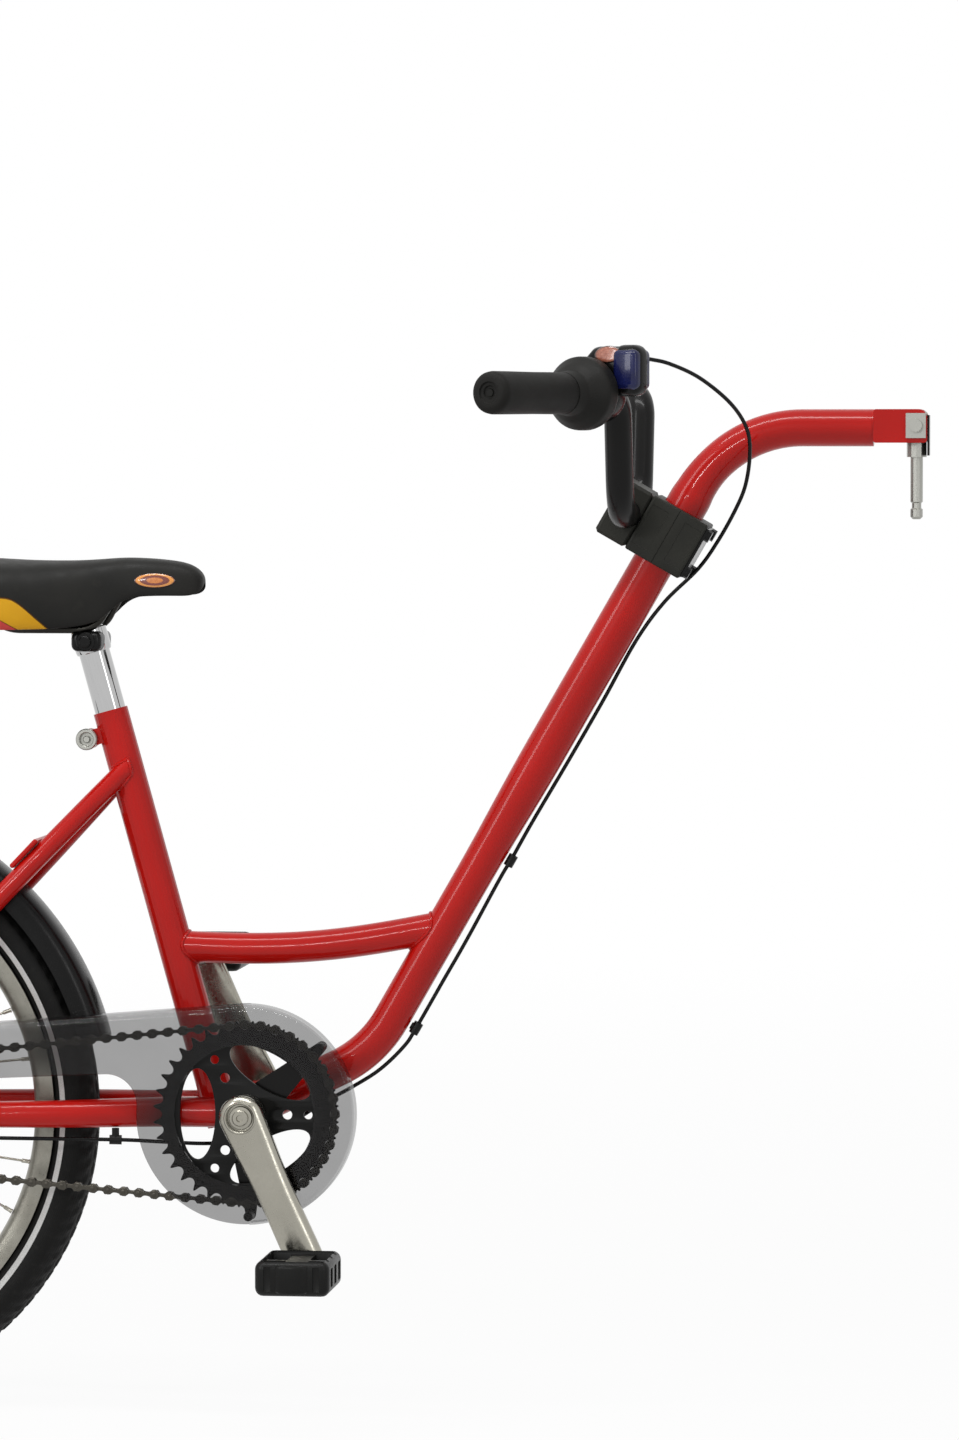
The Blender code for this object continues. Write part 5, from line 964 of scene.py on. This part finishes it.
# The chainring: its teeth, its bore, and three windows with the holes of the arms between them
loops = [tooth_loop(ring_teeth, ring_radius, centre_tilt), circle(0.0120 + tube_gap, 48)[:-1]]
for middle in (pi + number * 2 * pi / 3 for number in range(3)):
    out, along = Vector((cos(middle), sin(middle))), Vector((-sin(middle), cos(middle)))
    loops.append([tuple(out * (0.0395 + 0.0145 * x) + along * 0.037 * y) for x, y in circle(1.0, 49)[:-1]])
    arm = middle + pi / 3
    for reach, size in ((0.034, 0.004), (0.051, 0.0036)):
        loops.append(circle(size, 25, (reach * cos(arm), reach * sin(arm)))[:-1])
ring = joined("chainring_plate", [(plate("ring", loops, 0.0028, 0.0003, 1), still)])
settle("chainring_plate", ring, ring_paint, "crankset", ["chainring"], chain_place, 35)


def arm_outline(eye, near, far, count=28, waist=0.0016):
    """The outline of a crank arm round its two bosses, drawn in along its middle."""
    length, turn = sqrt(eye[0] ** 2 + eye[1] ** 2), atan2(eye[1], eye[0])
    lean = acos((near - far) / length)
    points = []
    for middle, radius, start, span in ((0, near, lean, 2 * pi - 2 * lean), (length, far, -lean, 2 * lean)):
        for angle in (start + span * k / count for k in range(count + 1)):
            points.append((middle + radius * cos(angle), radius * sin(angle)))
    fine = []
    for k, (x, y) in enumerate(points):
        fine.append((x, y))
        if k in (count, 2 * count + 1):
            nx, ny = points[(k + 1) % len(points)]
            for share in (step / 16 for step in range(1, 16)):
                px, py = x + (nx - x) * share, y + (ny - y) * share
                fine.append((px, py - waist * sin(pi * share) ** 2 * (1 if py > 0 else -1)))
    return [(x * cos(turn) - y * sin(turn), x * sin(turn) + y * cos(turn)) for x, y in fine]


crank_across, spigot_end = 0.079, -0.037


def make_crank(side, word):
    """One crank: a forged arm with wide chamfers, its spigot, and a chrome ring round the bolt."""
    angle = crank_angle if side < 0 else -crank_angle
    eye = (crank_length * cos(angle), crank_length * sin(angle))
    levels = mm(
        (-0.6, 11.2), (-0.2, 8.5), (0.7, 5.8), (2, 3.4), (3.6, 1.5), (5.4, 0.3), (6.8, 0), (10, 0),
        (11.4, 0.8), (12, 2.2),
    )
    loops = []
    for depth, inset in levels:
        loops.append([Vector((x, y, -depth)) for x, y in arm_outline(eye, 0.018 - inset, 0.0150 - inset)])
    recess, hole = drum(0.0115, 0.014, 48), drum(0.0063, 0.05, 32)
    arm = carve(rings("arm", loops), (recess, still), (hole, shift(*eye, 0)))
    step = chain_line + 0.0014 + tube_gap - crank_across
    profile = [(0.0069, -0.0100), (0.0165, -0.0100)]
    if side < 0:
        profile += [(0.0165, step + 0.0006), (0.0159, step), (0.0120, step), (0.0120, spigot_end + 0.0005)]
        profile += [(0.0115, spigot_end), (0.0069, spigot_end)]
    else:
        profile += [(0.0165, spigot_end + 0.0006), (0.0159, spigot_end), (0.0069, spigot_end)]
    collar = lathe("ring", mm((11.2, -6), (11.2, 0.4), (11.8, 1), (12.6, 1), (13.2, 0.2), (13.2, -1)), 56)
    head = mm(
        (0, -0.8), (2.4, -0.8), (2.9, 1.6), (5.6, 1.6), (6.4, 0.8), (6.6, -3.2), (9, -3.4), (9.4, -4.2),
        (9.4, -6.8), (0, -6.8),
    )
    parts = [(arm, still, 0), (lathe("spigot", profile, 56, True), still, 0)]
    parts += [(collar, still, 1), (lathe("bolt", head, 48), still, 1)]
    place = Matrix.Translation(bracket + side * crank_across * Y)
    place @= side_view if side < 0 else Matrix.Rotation(-pi / 2, 4, "X") @ Matrix.Rotation(pi, 4, "Z")
    name = f"crank_arm_{word}"
    settle(name, joined(name, parts), [alloy, chrome], "crankset", [f"crank_{word}"], place, 30)


def make_pedal(side, word):
    """A moulded cage pedal with cross webs, slotted side walls and a boss at its outer end."""
    angle = crank_angle if side < 0 else crank_angle + pi
    eye = bracket + crank_length * Vector((cos(angle), 0, sin(angle)))
    length, width, height, wall = 0.060, 0.080, 0.0285, 0.0045
    window_length, window_width = 0.0165, (width - 3 * wall) / 2
    tools = []
    for ahead in (-1, 1):
        for across in (-1, 1):
            place = shift(ahead * (0.009 + window_length / 2), across * (window_width + wall) / 2, 0)
            tools.append((block((window_length, window_width, 0.08), 0.0025, 2), place))
        for across in (-0.0225, 0, 0.0225):
            place = shift(ahead * (length / 2 + 0.0030), across, 0)
            tools.append((block((0.016, 0.0125, 0.0150), 0.0018, 2), place))
        for across in (-0.0225, 0, 0.0225):
            for up in (-1, 1):
                place = shift(ahead * length / 2, across, up * height / 2)
                tools.append((block((0.012, 0.0080, 0.0040), 0.0008, 1), place))
        groove = block((0.0055, 0.0020, 0.0200), 0.0006, 2)
        tools.append((groove, shift(ahead * 0.0195, side * width / 2, 0)))
    for up in (-1, 1):
        lid = block((length - 2 * wall, width - 2 * wall, 0.010), 0.0015, 2)
        tools.append((lid, shift(0, 0, up * (height / 2 + 0.001))))
        dent = block((0.0060, 0.0040, 0.0030), 0.0010, 2)
        tools.append((dent, shift(0, side * width / 2, up * height / 2)))
    tools.append((drum(0.0045, width, 28), at_side(side * -0.0045)))
    cage = carve(block((length, width, height), 0.0070, 5), *tools)
    outer_boss = lathe("outer_boss", mirrored(mm((0, 11), (12, 11), (13.6, 10), (14, 8.5))), 48)
    inner_boss = lathe("boss", mm((4.6, 1.2), (8.2, 1.2), (9, 0.4), (9, -3), (4.6, -3)), 32, True)
    parts = [(cage, still), (inner_boss, at((0, -side * width / 2, 0), -side * Y))]
    parts.append((outer_boss, shift(0, side * (width / 2 - 0.0022), 0) @ Matrix.Diagonal((1, 0.40, 1, 1))))
    place = Matrix.Translation(eye + side * (crank_across + 0.007 + width / 2) * Y)
    name = f"pedal_cage_{word}"
    settle(name, joined(name, parts), black_plastic, f"pedal_{word[0]}", [f"pedal_{word}"], place, 35)


for make in (make_crank, make_pedal):
    for side, word in sides:
        make(side, word)


# The chain guard
guard_centre = Vector(side_spot(bracket))
guard_tail = Vector(side_spot(axle + 0.1200 * X + 0.0507 * Z))
guard_depth, guard_front = 0.021, 0.0565


def guard_outline(inset=0.0):
    """A disc round the bottom bracket, drawn out to the rear over the chain's upper run."""
    radius, tail_radius, neck = 0.0895 - inset, 0.0220 - inset, 0.024 + inset
    between = guard_centre - guard_tail
    top = atan2(between.y, between.x) + acos((tail_radius - radius) / between.length)
    below = radians(2.7) - pi / 2
    down = Vector((cos(below), sin(below)))
    forward = Vector((-down.y, down.x))
    offset = (tail_radius + neck) * down - between
    ahead = offset.dot(forward)
    reach = sqrt((radius + neck) ** 2 - offset.length**2 + ahead**2)
    fillet = guard_centre + offset - (ahead + reach) * forward
    angle = atan2(fillet.y - guard_centre.y, fillet.x - guard_centre.x)
    points = circle(radius, 104, guard_centre, top, angle % (2 * pi) - top - 2 * pi)[:-1]
    points += circle(neck, 20, fillet, angle + pi, (below - angle) % (2 * pi))
    return points + circle(tail_radius, 28, guard_tail, below, top - 2 * pi - below)


def guard_shape():
    """The guard's face with its rim, hollow and open to the inside, and cut away below the chain."""
    (x, y), (tail_x, tail_y), far = guard_centre, guard_tail, 0.27
    corners = [(x + 0.004, y - far), (x + 0.004, y), (x - 0.0537, y + 0.0313)]
    corners += [(tail_x + 0.044, tail_y - 0.002), (tail_x, tail_y + 0.0088)]
    corners += [(tail_x - far, tail_y + 0.0088), (tail_x - far, y - far)]
    return carve(
        plate("guard_shell", [guard_outline()], 2 * guard_depth, 0.0055, 4),
        (plate("guard_pocket", [guard_outline(0.0018)], 2 * guard_depth - 0.004, 0.0038, 3), still),
        (block((2, 2, 0.1), 0), shift(0, 0, -0.05)),
        (drum(0.0570, 0.05, 120), shift(x, y, guard_depth)),
        (plate("skirt_cut", [corners], guard_depth, 0.0001, 0), shift(0, 0, guard_depth / 2 - 0.0026)),
    )


guard_place = at_side(guard_depth - guard_front)
settle("guard_shell", guard_shape(), smoked_plastic, "frame", ["chain_guard"], guard_place, 25)


# The mudguard
def mudguard_shape():
    """The mudguard's arc with the tab and screw that hold it to the stay bridge."""
    outside = mm((240, 27.2), (240.2, 27.6), (241.2, 27.8), (244, 27.4), (250, 26.4))
    outside += mm((254.8, 24), (258, 20.5), (260.2, 15.5), (261.2, 10), (261.6, 4.5))
    inside = mm((240.5, -25.6), (243.6, -25.6), (249.2, -24.6), (253.5, -22.4))
    inside += mm((256.4, -19.3), (258.5, -15), (259.4, -9.8), (259.9, -4.5))
    profile = mirrored(outside, 0.2617) + mirrored(inside, 0.2600)
    arc = lathe("mudguard_arc", profile, 150, True, radians(4), radians(162))
    tab_start, tab_end, tab_rise = 0.2605, 0.294, 0.0065
    tab = block((tab_end - tab_start, 0.016, 0.003), 0.0010, 2)
    tab_place = axle + (tab_start + tab_end) / 2 * seatstay_along + tab_rise * seatstay_normal
    tab_turn = Matrix.Rotation(-seatstay_slope, 4, "Y")
    screw, top = axle + 0.286 * seatstay_along, 0.012 + 2 * tube_gap
    shank = drum(0.0025, top + 0.001 - tab_rise, 20)
    shank_place = at(screw + (top + 0.001 + tab_rise) / 2 * seatstay_normal, seatstay_normal)
    head = lathe("head", mm((0, 3), (2, 2.9), (3.6, 2.2), (4.5, 0.8), (4.5, 0), (0, 0)), 32)
    head_place = at(screw + (top + 0.0001) * seatstay_normal, seatstay_normal)
    parts = [(arc, at(axle, Y)), (tab, Matrix.Translation(tab_place) @ tab_turn)]
    return joined("mudguard_arc", [*parts, (shank, shank_place), (head, head_place, 1)])


settle("mudguard_arc", mudguard_shape(), [gloss_black, steel], "frame", ["mudguard"])


# The handlebar's clamp
def node_spots(name):
    """The points of a CAD node, in the world."""
    thing = nodes[name]
    return [thing.matrix_world @ vert.co for vert in thing.data.vertices]


def axes_at(place, across, along, up):
    """A place with three given directions as its axes."""
    return Matrix.Translation(place) @ Matrix((across, along, up)).transposed().to_4x4()


def make_clamp_shell():
    """The two blocks that grip the drawbar, flush with each other and with a hairline seam between them."""
    basis = axes_at((0, 0, 0), drawbar_back, Y, drawbar_along)
    back = basis.inverted()
    spots = [back @ spot for name in ("clamp_front", "clamp_middle") for spot in node_spots(name)]
    low, high = (Vector([pick(spot[axis] for spot in spots) for axis in range(3)]) for pick in (min, max))
    size, middle = high - low, (high + low) / 2
    seam = back @ clamp_centre - middle
    tools = [(drum(0.0174, 0.2, 48), shift(seam.x, seam.y, 0))]
    for across in (-size.y / 2, size.y / 2):
        tools.append((block((0.0006, 0.0012, 0.2), 0.0002, 1), shift(seam.x, across, 0)))
        for ahead in (-0.30 * size.x, 0.30 * size.x):
            recess = block((0.30 * size.x, 0.0006, 0.72 * size.z), 0.0002, 1)
            tools.append((recess, shift(ahead, across, 0)))
    shell = carve(block(size, 0.0016, 3), *tools)
    place = basis @ Matrix.Translation(middle)
    settle("clamp_shell", shell, block_plastic, "bar_clamp", ["clamp_front", "clamp_middle"], place, 30)


make_clamp_shell()

# The shift cable's route, from the shifter to the first guide and from there to the shift box
cable_loop = [Vector(spot) for spot in mm(
    (-204.3, -148, 77.6), (-188.6, -134, 73.8), (-166.5, -110, 62.7), (-144.1, -84, 42.9),
    (-132.7, -62, 22.8), (-131.4, -45, 2.6), (-135.6, -32, -21.8), (-144.4, -22, -42.1),
    (-159.5, -12, -68), (-176, -5, -90.5), (-203.4, 0, -117.2), (-226.3, 0, -148.4), (-253.2, 0, -197.3),
    (-281.3, 0, -246.2), (-310.2, 0, -295.2), (-328.1, 0, -327.2),
)]
cable_run = mm(
    (-328.4, 0, -327.8), (-337.6, 0, -343.1), (-364.1, 0, -392), (-383.7, 0, -426.2), (-406, 0, -465.2),
    (-415.8, 0, -480), (-435.4, 0, -499), (-458.2, 0, -513.7), (-485, 0, -528.5), (-515, -4, -547.5),
    (-539.5, -13, -556.8), (-573.4, -28, -558.5), (-612, -37, -556.5), (-647.1, -42, -554.8),
    (-750, -56, -553), (-830, -64, -551), (-873, -74.5, -545), (-898.5, -82, -539),
)

# The handlebar, its grips and the twist sleeve
bar_radius, sleeve_bore, sleeve_length = 0.0111, 0.0114, 0.040
grip_lengths = {"right": 0.104, "left": 0.128}


def bar_corners(side):
    """The lower corner, the upper corner and the end of one half of the handlebar."""
    upper = bar_centre + side * 0.112 * Y + 0.0960 * Z
    end = bar_centre + side * 0.281 * Y + 0.0960 * Z - 0.082 * X
    return bar_centre + side * 0.085 * Y, upper, end


path = filleted([*reversed(bar_corners(-1)), *bar_corners(1)], (0.025, 0.040, 0.040, 0.025), 16)
settle("bent_bar", tube("bent_bar", path, bar_radius, 32), black_paint, "bar", ["handlebar"])
for side, word in sides:
    upper, end = bar_corners(side)[1:]
    length = grip_lengths[word]
    profile = mm(
        (0, 2.2), (2.8, 2.2), (3.4, 1.2), (4.8, 1.2), (5.6, 2.4), (7.8, 2.6), (8.6, 4), (11.5, 4.2),
        (14.5, 3),
    )
    profile += mm((16.2, 0.4), (16.7, -3), (16.6, -25), (16.3, -60))
    profile += [(0.0164, 0.0050 - length), (0.0163, 0.0006 - length), (0.0157, -length)]
    profile += [(sleeve_bore, -length), (sleeve_bore, 0.0003), (0, 0.0003)]
    grip, place = lathe("grip", profile, 56), at(end, (end - upper).normalized())
    settle(f"soft_grip_{word}", grip, grip_rubber, "bar", [f"grip_{word}"], place, 50)

profile = mm(
    (16.3, 20), (16.8, 19), (17.3, 9), (18.6, 7.2), (21.5, 4.8), (24, 2), (26.2, -1.2), (28, -3.2),
    (28.8, -5), (29, -6.8),
)
profile += mm((29, -14.8), (28.6, -16.8), (27.6, -19), (26.8, -20), (11.4, -20), (11.4, 20))
sleeve = lathe("sleeve", profile, 72, True)
settle("twist_sleeve", sleeve, twist_black, "twister", ["twist_grip"], at(twist_centre, grip_out))


# The shifter
def surface_tree(mesh):
    faces = [tuple(face.vertices) for face in mesh.polygons]
    return BVHTree.FromPolygons([vert.co for vert in mesh.vertices], faces)


def ovals(spots, wide, tall, levels):
    """Loops of an oval's points, each given as (share of the oval's size, height)."""
    return [[Vector((wide * share * x, tall * share * y, lift)) for x, y in spots] for share, lift in levels]


def make_shifter():
    """The shifter's drum, cowl and cable exit, with the gear display and its indicator window."""
    upper, end = bar_corners(-1)[1:]
    out = (end - upper).normalized()
    middle = end - (grip_lengths["right"] + sleeve_length + 2 * tube_gap + 0.011) * out
    ahead = Vector((-out.y, out.x, 0))
    body = mm(
        (11.4, 11), (20.5, 11), (22.2, 10.2), (23, 8.5), (23, -7), (21.8, -9.5), (19, -11), (11.4, -11),
    )
    parts = [(lathe("body", body, 64, True), at(middle, out), 0)]
    for turn in (radians(70), radians(250)):
        spot = middle - 0.011 * out + 0.0165 * (cos(turn) * ahead + sin(turn) * Z)
        parts.append((drum(0.0022, 0.0016, 20, 0.0003), at(spot, out), 1))
    box_turn = Matrix.Rotation(atan2(ahead.y, ahead.x), 4, "Z")
    box_place = middle + 0.0156 * ahead + 0.0215 * Z
    start = box_place + 0.0095 * ahead
    line = cable_loop[0] - start
    reach = line.length - 0.0018
    boss = mm((0, 0), (5.8, 0), (5.8, 9), (5, 10.5), (4, 12)) + [(0.0034, reach), (0, reach)]
    parts.append((lathe("boss", boss, 32), at(start, line), 0))

    # A black cowl runs from the drum up to the display, with the indicator window on its slope
    shape = bmesh.new()
    for turn in (radians(12 * step) for step in range(16)):
        arm = cos(turn) * ahead + sin(turn) * Z
        for along, size in mm((10.5, 21.5), (8.5, 22.6), (-10, 22.2)):
            shape.verts.new(middle + along * out + size * arm)
    for vert in block((0.036, 0.0195, 0.033), 0.0080, 4).vertices:
        shape.verts.new(box_place + box_turn @ vert.co - 0.0010 * (Z + ahead))
    bmesh.ops.convex_hull(shape, input=shape.verts)
    loose = [vert for vert in shape.verts if not vert.link_faces]
    bmesh.ops.delete(shape, geom=loose, context="VERTS")
    cowl = carve(written(shape, bpy.data.meshes.new("cowl")), (drum(sleeve_bore, 0.1, 40), at(middle, out)))
    parts.append((cowl, still, 0))

    # The cable's adjuster stands below its exit
    barrel = mm(
        (0, 6), (1.8, 6), (2, 3.5), (3.4, 3), (3.8, 2), (3.8, -3.5), (3, -4.5), (1.8, -5), (1.8, -9),
        (0, -9),
    )
    adjuster_place = box_place + 0.0225 * ahead - 0.0140 * Z
    parts.append((lathe("adjuster", barrel, 14), at(adjuster_place, ahead + 0.25 * Z), 1))
    shifter = joined("shifter_body", parts)
    settle("shifter_body", shifter, [gloss_black, steel], "bar", ["shifter_housing"], None, 35)
    display_place = box_place + 0.0158 * ahead - 0.0036 * Z
    face_place = display_place + 0.0008 * ahead + 0.0006 * Z
    for name, size, edge, segments, surface, place in (
        ("display_case", (0.0250, 0.0225, 0.0405), 0.0088, 6, gloss_black, display_place),
        ("gear_display", (0.0222, 0.0252, 0.0320), 0.0050, 5, display_blue, face_place),
    ):
        settle(name, block(size, edge, segments), surface, "bar", (), Matrix.Translation(place) @ box_turn)
    levels = ((1.0, -0.0030), (1.0, 0.0002), (0.9, 0.0007), (0.5, 0.0010), (0.04, 0.0011))
    window = rings("window", ovals(circle(1.0, 41)[:-1], 0.0125, 0.0068, levels))
    wanted = box_place + 0.001 * ahead + 0.0105 * Z + 0.016 * out
    spot, slope = surface_tree(cowl).find_nearest(wanted)[:2]
    across = slope.cross(out).normalized()
    place = axes_at(spot, across, slope.cross(across), slope)
    # The indicator window carries the painted salmon highlight
    settle("indicator_window", window, window_highlight, "bar", (), place, 60)


make_shifter()


# The shift cable
def cable(name, path, body, replaced=()):
    cable_radius = 0.0016
    return settle(name, tube(name, path, cable_radius, 14), cable_sheath, body, replaced)


path = blended(cable_loop, 10)
split = 50
upper, lower = path[: split + 1], path[split:]
first = cable("cable_upper", upper, None, ["shift_cable_loop"])
tuple(upper[0])
tuple(upper[-1])
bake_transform(first)
second = cable("cable_lower", lower, None)
tuple(lower[0])
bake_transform(second)
cable("cable_to_hub", blended(cable_run, 8), "frame", ["shift_cable_run"])

# The saddle
nose_x, saddle_length, nose_half = tilt_centre.x + 0.095, 0.250, 0.022
saddle_top, nose_under, shelf_height = -0.0840, -0.1125, -0.1013

# Stations from nose to tail: share of the length, width, rise of the top and fall of the underside
saddle_stations = (
    (0.003, 0.30, -0.0150, -0.0075), (0.014, 0.58, -0.0090, -0.0020), (0.045, 0.80, -0.0035, 0.0010),
    (0.090, 0.90, -0.0005, 0.0008), (0.170, 0.98, 0.0015, 0.0008), (0.240, 1.02, 0.0022, 0.0020),
    (0.285, 1.10, 0.0020, 0.0085), (0.330, 1.24, 0.0012, 0.0215), (0.400, 1.50, 0.0000, 0.0262),
    (0.480, 1.84, -0.0002, 0.0278), (0.560, 2.26, 0.0000, 0.0280), (0.640, 2.70, 0.0010, 0.0285),
    (0.780, 3.36, 0.0030, 0.0285), (0.910, 3.40, 0.0045, 0.0270), (0.990, 2.50, 0.0010, 0.0180),
)


def saddle_shape():
    """The padded cover, from cross sections that subdivision rounds."""
    loops = []
    for share, spread, rise, fall in saddle_stations:
        x, wide = nose_x - share * saddle_length, spread * nose_half
        top, low = saddle_top + rise, nose_under - fall
        shelf, tall = max(shelf_height, low + 0.0030), top - low
        half = [(0.45, top - 0.03 * tall), (0.80, top - 0.14 * tall), (0.97, top - 0.42 * tall)]
        half += [(1.00, low + 0.18 * tall), (0.96, low), (0.87, low), (0.82, shelf), (0.40, shelf)]
        ring = [(0, top), *half, (0, shelf), *((-part, z) for part, z in reversed(half))]
        loops.append([Vector((x, part * wide, z)) for part, z in ring])
    thing = linked("saddle_skin", rings("saddle_skin", loops))
    soft = thing.modifiers.new("soft", "SUBSURF")
    soft.levels = soft.render_levels = 3
    soft.use_limit_surface = False
    return evaluated(thing)


skin = settle("saddle_skin", saddle_shape(), vinyl, "saddle", ["saddle_cover"], None, 180)


def make_badge(side, word):
    """A domed oval badge laid on the saddle's flank."""
    tree = surface_tree(skin.data)
    levels = ((1.0, -0.0002), (1.0, 0.0005), (0.94, 0.0009), (0.6, 0.0012), (0.3, 0.0013), (0.03, 0.0013))
    middle, normal = tree.ray_cast(Vector((-0.6173, side * 0.2, -0.1005)), -side * Y)[:2]
    up = (Z - Z.dot(normal) * normal).normalized()
    place = axes_at(middle, up.cross(normal), up, normal)
    back = place.inverted()
    fitted = []
    for loop in ovals(circle(1.0, 48), 0.0165, 0.0058, levels):
        row = []
        for x, y, lift in loop:
            found = tree.ray_cast(place @ Vector((x, y, 0.01)), -normal, 0.03)[0]
            row.append(back @ ((found or place @ Vector((x, y, 0))) + normal * lift))
        fitted.append(row)
    settle(f"badge_{word}", rings("badge", fitted), enamel, "saddle", (), place, 60)


for side, word in sides:
    make_badge(side, word)

# The saddle's rails, one wire from the rear of one side round the nose to the other
rail_radius, base_thickness = 0.0035, 0.003
mouth = shelf_height - 2 * tube_gap - base_thickness - rail_radius
rail_height, tail_x = tilt_centre.z + 0.0100, nose_x - saddle_length
half = [
    (tail_x + 0.030, 0.044, mouth), (tail_x + 0.052, 0.040, mouth), (tail_x + 0.088, 0.022, rail_height),
    (nose_x - 0.089, 0.022, rail_height), (nose_x - 0.070, 0.0130, mouth), (nose_x - 0.026, 0.0095, mouth),
]
bends = (0.014, 0.030, 0.020, 0.014, 0.0090)
path = filleted([*half, *((x, -y, z) for x, y, z in reversed(half))], bends + bends[::-1], 9)
settle("rail_wire", tube("rail_wire", path, rail_radius, 20), dark_steel, "saddle", ["saddle_rails"])


# The seat post, the saddle's yoke, and the bolt that nips the seat tube round the post
def run_of(name):
    """How far a CAD node reaches along the seat tube's line, measured from the tube's top."""
    run = [seat_up.dot(spot - seat_top) for spot in node_spots(name)]
    return min(run), max(run)


post_radius, post_bore = 0.0127, 0.0107
bottom, top = run_of("seat_post")
profile = [(0, top), (0.0115, top), (post_radius, top - 0.0012)]
profile += [(post_radius, top + (bottom - top) * k / 12) for k in range(1, 13)]
profile += [(post_bore, bottom), (post_bore, top - 0.03), (0, top - 0.03)]
settle("chromed_post", lathe("post", profile, 96), chrome, "post", ["seat_post"], at(seat_top, seat_up), 30)

bottom, top = run_of("saddle_clamp_core")
profile = [(0.0128, top), (0.0138, top), (0.0146, top - 0.0010), (0.0148, top - 0.0060)]
profile += [(0.0148, bottom + 0.0030), (0.0142, bottom + 0.0006), (0.0134, bottom), (0.0128, bottom)]
collar = lathe("collar", profile, 72, True)
settle("post_collar", collar, chrome, "post", ["saddle_clamp_core"], at(seat_top, seat_up), 30)
parts = [(block((0.0250, 0.0560, 0.0165), 0.0055, 4), still, 0)]
parts.append((lathe("cheek", mirrored(mm((0, 30), (7, 30), (7.8, 29.2), (8, 25))), 32), side_view, 0))
parts.append((lathe("nut", mirrored(mm((0, 33.5), (4, 33.5), (4.8, 32.8), (5, 29))), 24), side_view, 1))
yoke, place = joined("saddle_yoke", parts), Matrix.Translation(tilt_centre)
settle("saddle_yoke", yoke, [gloss_black, steel], "saddle", ["saddle_clamp"], place, 35)

spots = node_spots("seat_clamp_bolt")
low, high = min(spot.y for spot in spots), max(spot.y for spot in spots)
middle, half = sum(spots, Vector()) / len(spots), (high - low) / 2
middle.y = (low + high) / 2
head = mm(
    (0, -1), (2.4, -1), (2.9, -1.6), (3, -4.2), (5.4, -4.2), (5.6, -0.6), (6.2, 0), (8, 0), (8.8, -1),
    (8.8, -5.6), (8, -6.2), (2.9, -6.3),
)
nut = mm((2.9, 5.6), (6.2, 5.4), (6.2, 0.4), (5.8, 0), (0, 0))
profile = [(radius, half + height) for radius, height in head]
profile += [(radius, height - half) for radius, height in nut]
bolt = lathe("seat_bolt", profile, 48)
settle("seat_bolt", bolt, steel, "frame", ["seat_clamp_bolt"], at(middle, -Y), 30)

# Stage: floor, background, light and camera
ground, floor_reach = axle.z - wheel_radius, 14.0
sky_light, floor_white = 0.10, 0.95


def aimed(thing, place, target):
    """Puts a lamp or the camera at a place and turns it to a target."""
    thing.location = place
    thing.rotation_euler = (Vector(target) - Vector(place)).to_track_quat("-Z", "Y").to_euler()
    return thing


def studio_white():
    """The floor's finish: camera, glossy and transmission rays see it go over into the white background."""
    make = Maker("studio_white")
    surface = make.finish(make.mottle(make.noise(0.8, 2), (0.80, 0.80, 0.80), (0.86, 0.86, 0.86)), 0.9)
    white = make.remap(make.reach(), 0.9, 4.5, floor_white, 1.0)
    share = make.calc("MULTIPLY", make.white_rays(), white)
    glow = make.add("Emission", {"Color": (1, 1, 1, 1), "Strength": 1.0}).outputs[0]
    mix = make.add("MixShader", {0: share, 1: make.shader.outputs[0], 2: glow}).outputs[0]
    make.feed(make.tree.nodes["Material Output"].inputs[0], mix)
    return surface


square = ((-1, -1), (1, -1), (1, 1), (-1, 1))
corners = [(x * floor_reach, y * floor_reach, ground - 0.0005) for x, y in square]
floor = linked("floor", raw("floor", corners, [(0, 1, 2, 3)]))
floor.data.materials.append(studio_white())
floor.data.shade_smooth()

world = bpy.data.worlds.new("studio")
bpy.context.scene.world = world
world.use_nodes = True
sky = Nodes(world.node_tree)
background = world.node_tree.nodes["Background"]
sky.feed(background.inputs["Color"], (1, 1, 1, 1))
sky.feed(background.inputs["Strength"], sky.remap(sky.white_rays(), 0, 1, sky_light, 1.0))

for name, size, power, place in (
    ("top_box", (3.0, 0.35), 54, (-0.6, -0.9, 2.3)),
    ("left_box", (0.7, 2.4), 38, (-2.9, -2.4, 1.2)),
    ("right_box", (0.6, 2.2), 16, (2.4, -2.8, 0.9)),
    ("front_strip", (1.3, 0.22), 36, (-1.7, -4.7, 1.15)),
):
    light = bpy.data.lights.new(name, "AREA")
    light.shape, light.energy = "RECTANGLE", power
    light.size, light.size_y = size
    aimed(linked(name, light), place, (-0.45, 0, -0.3))

lens = bpy.data.cameras.new("camera")
lens.lens, lens.sensor_width, lens.clip_end = 161.2, 36, 60
bpy.context.scene.camera = aimed(linked("camera", lens), (0.225, -5.2, 0.023), (-0.354, 0, -0.2136))
bpy.context.scene.view_settings.view_transform = "Standard"
bpy.context.view_layer.update()
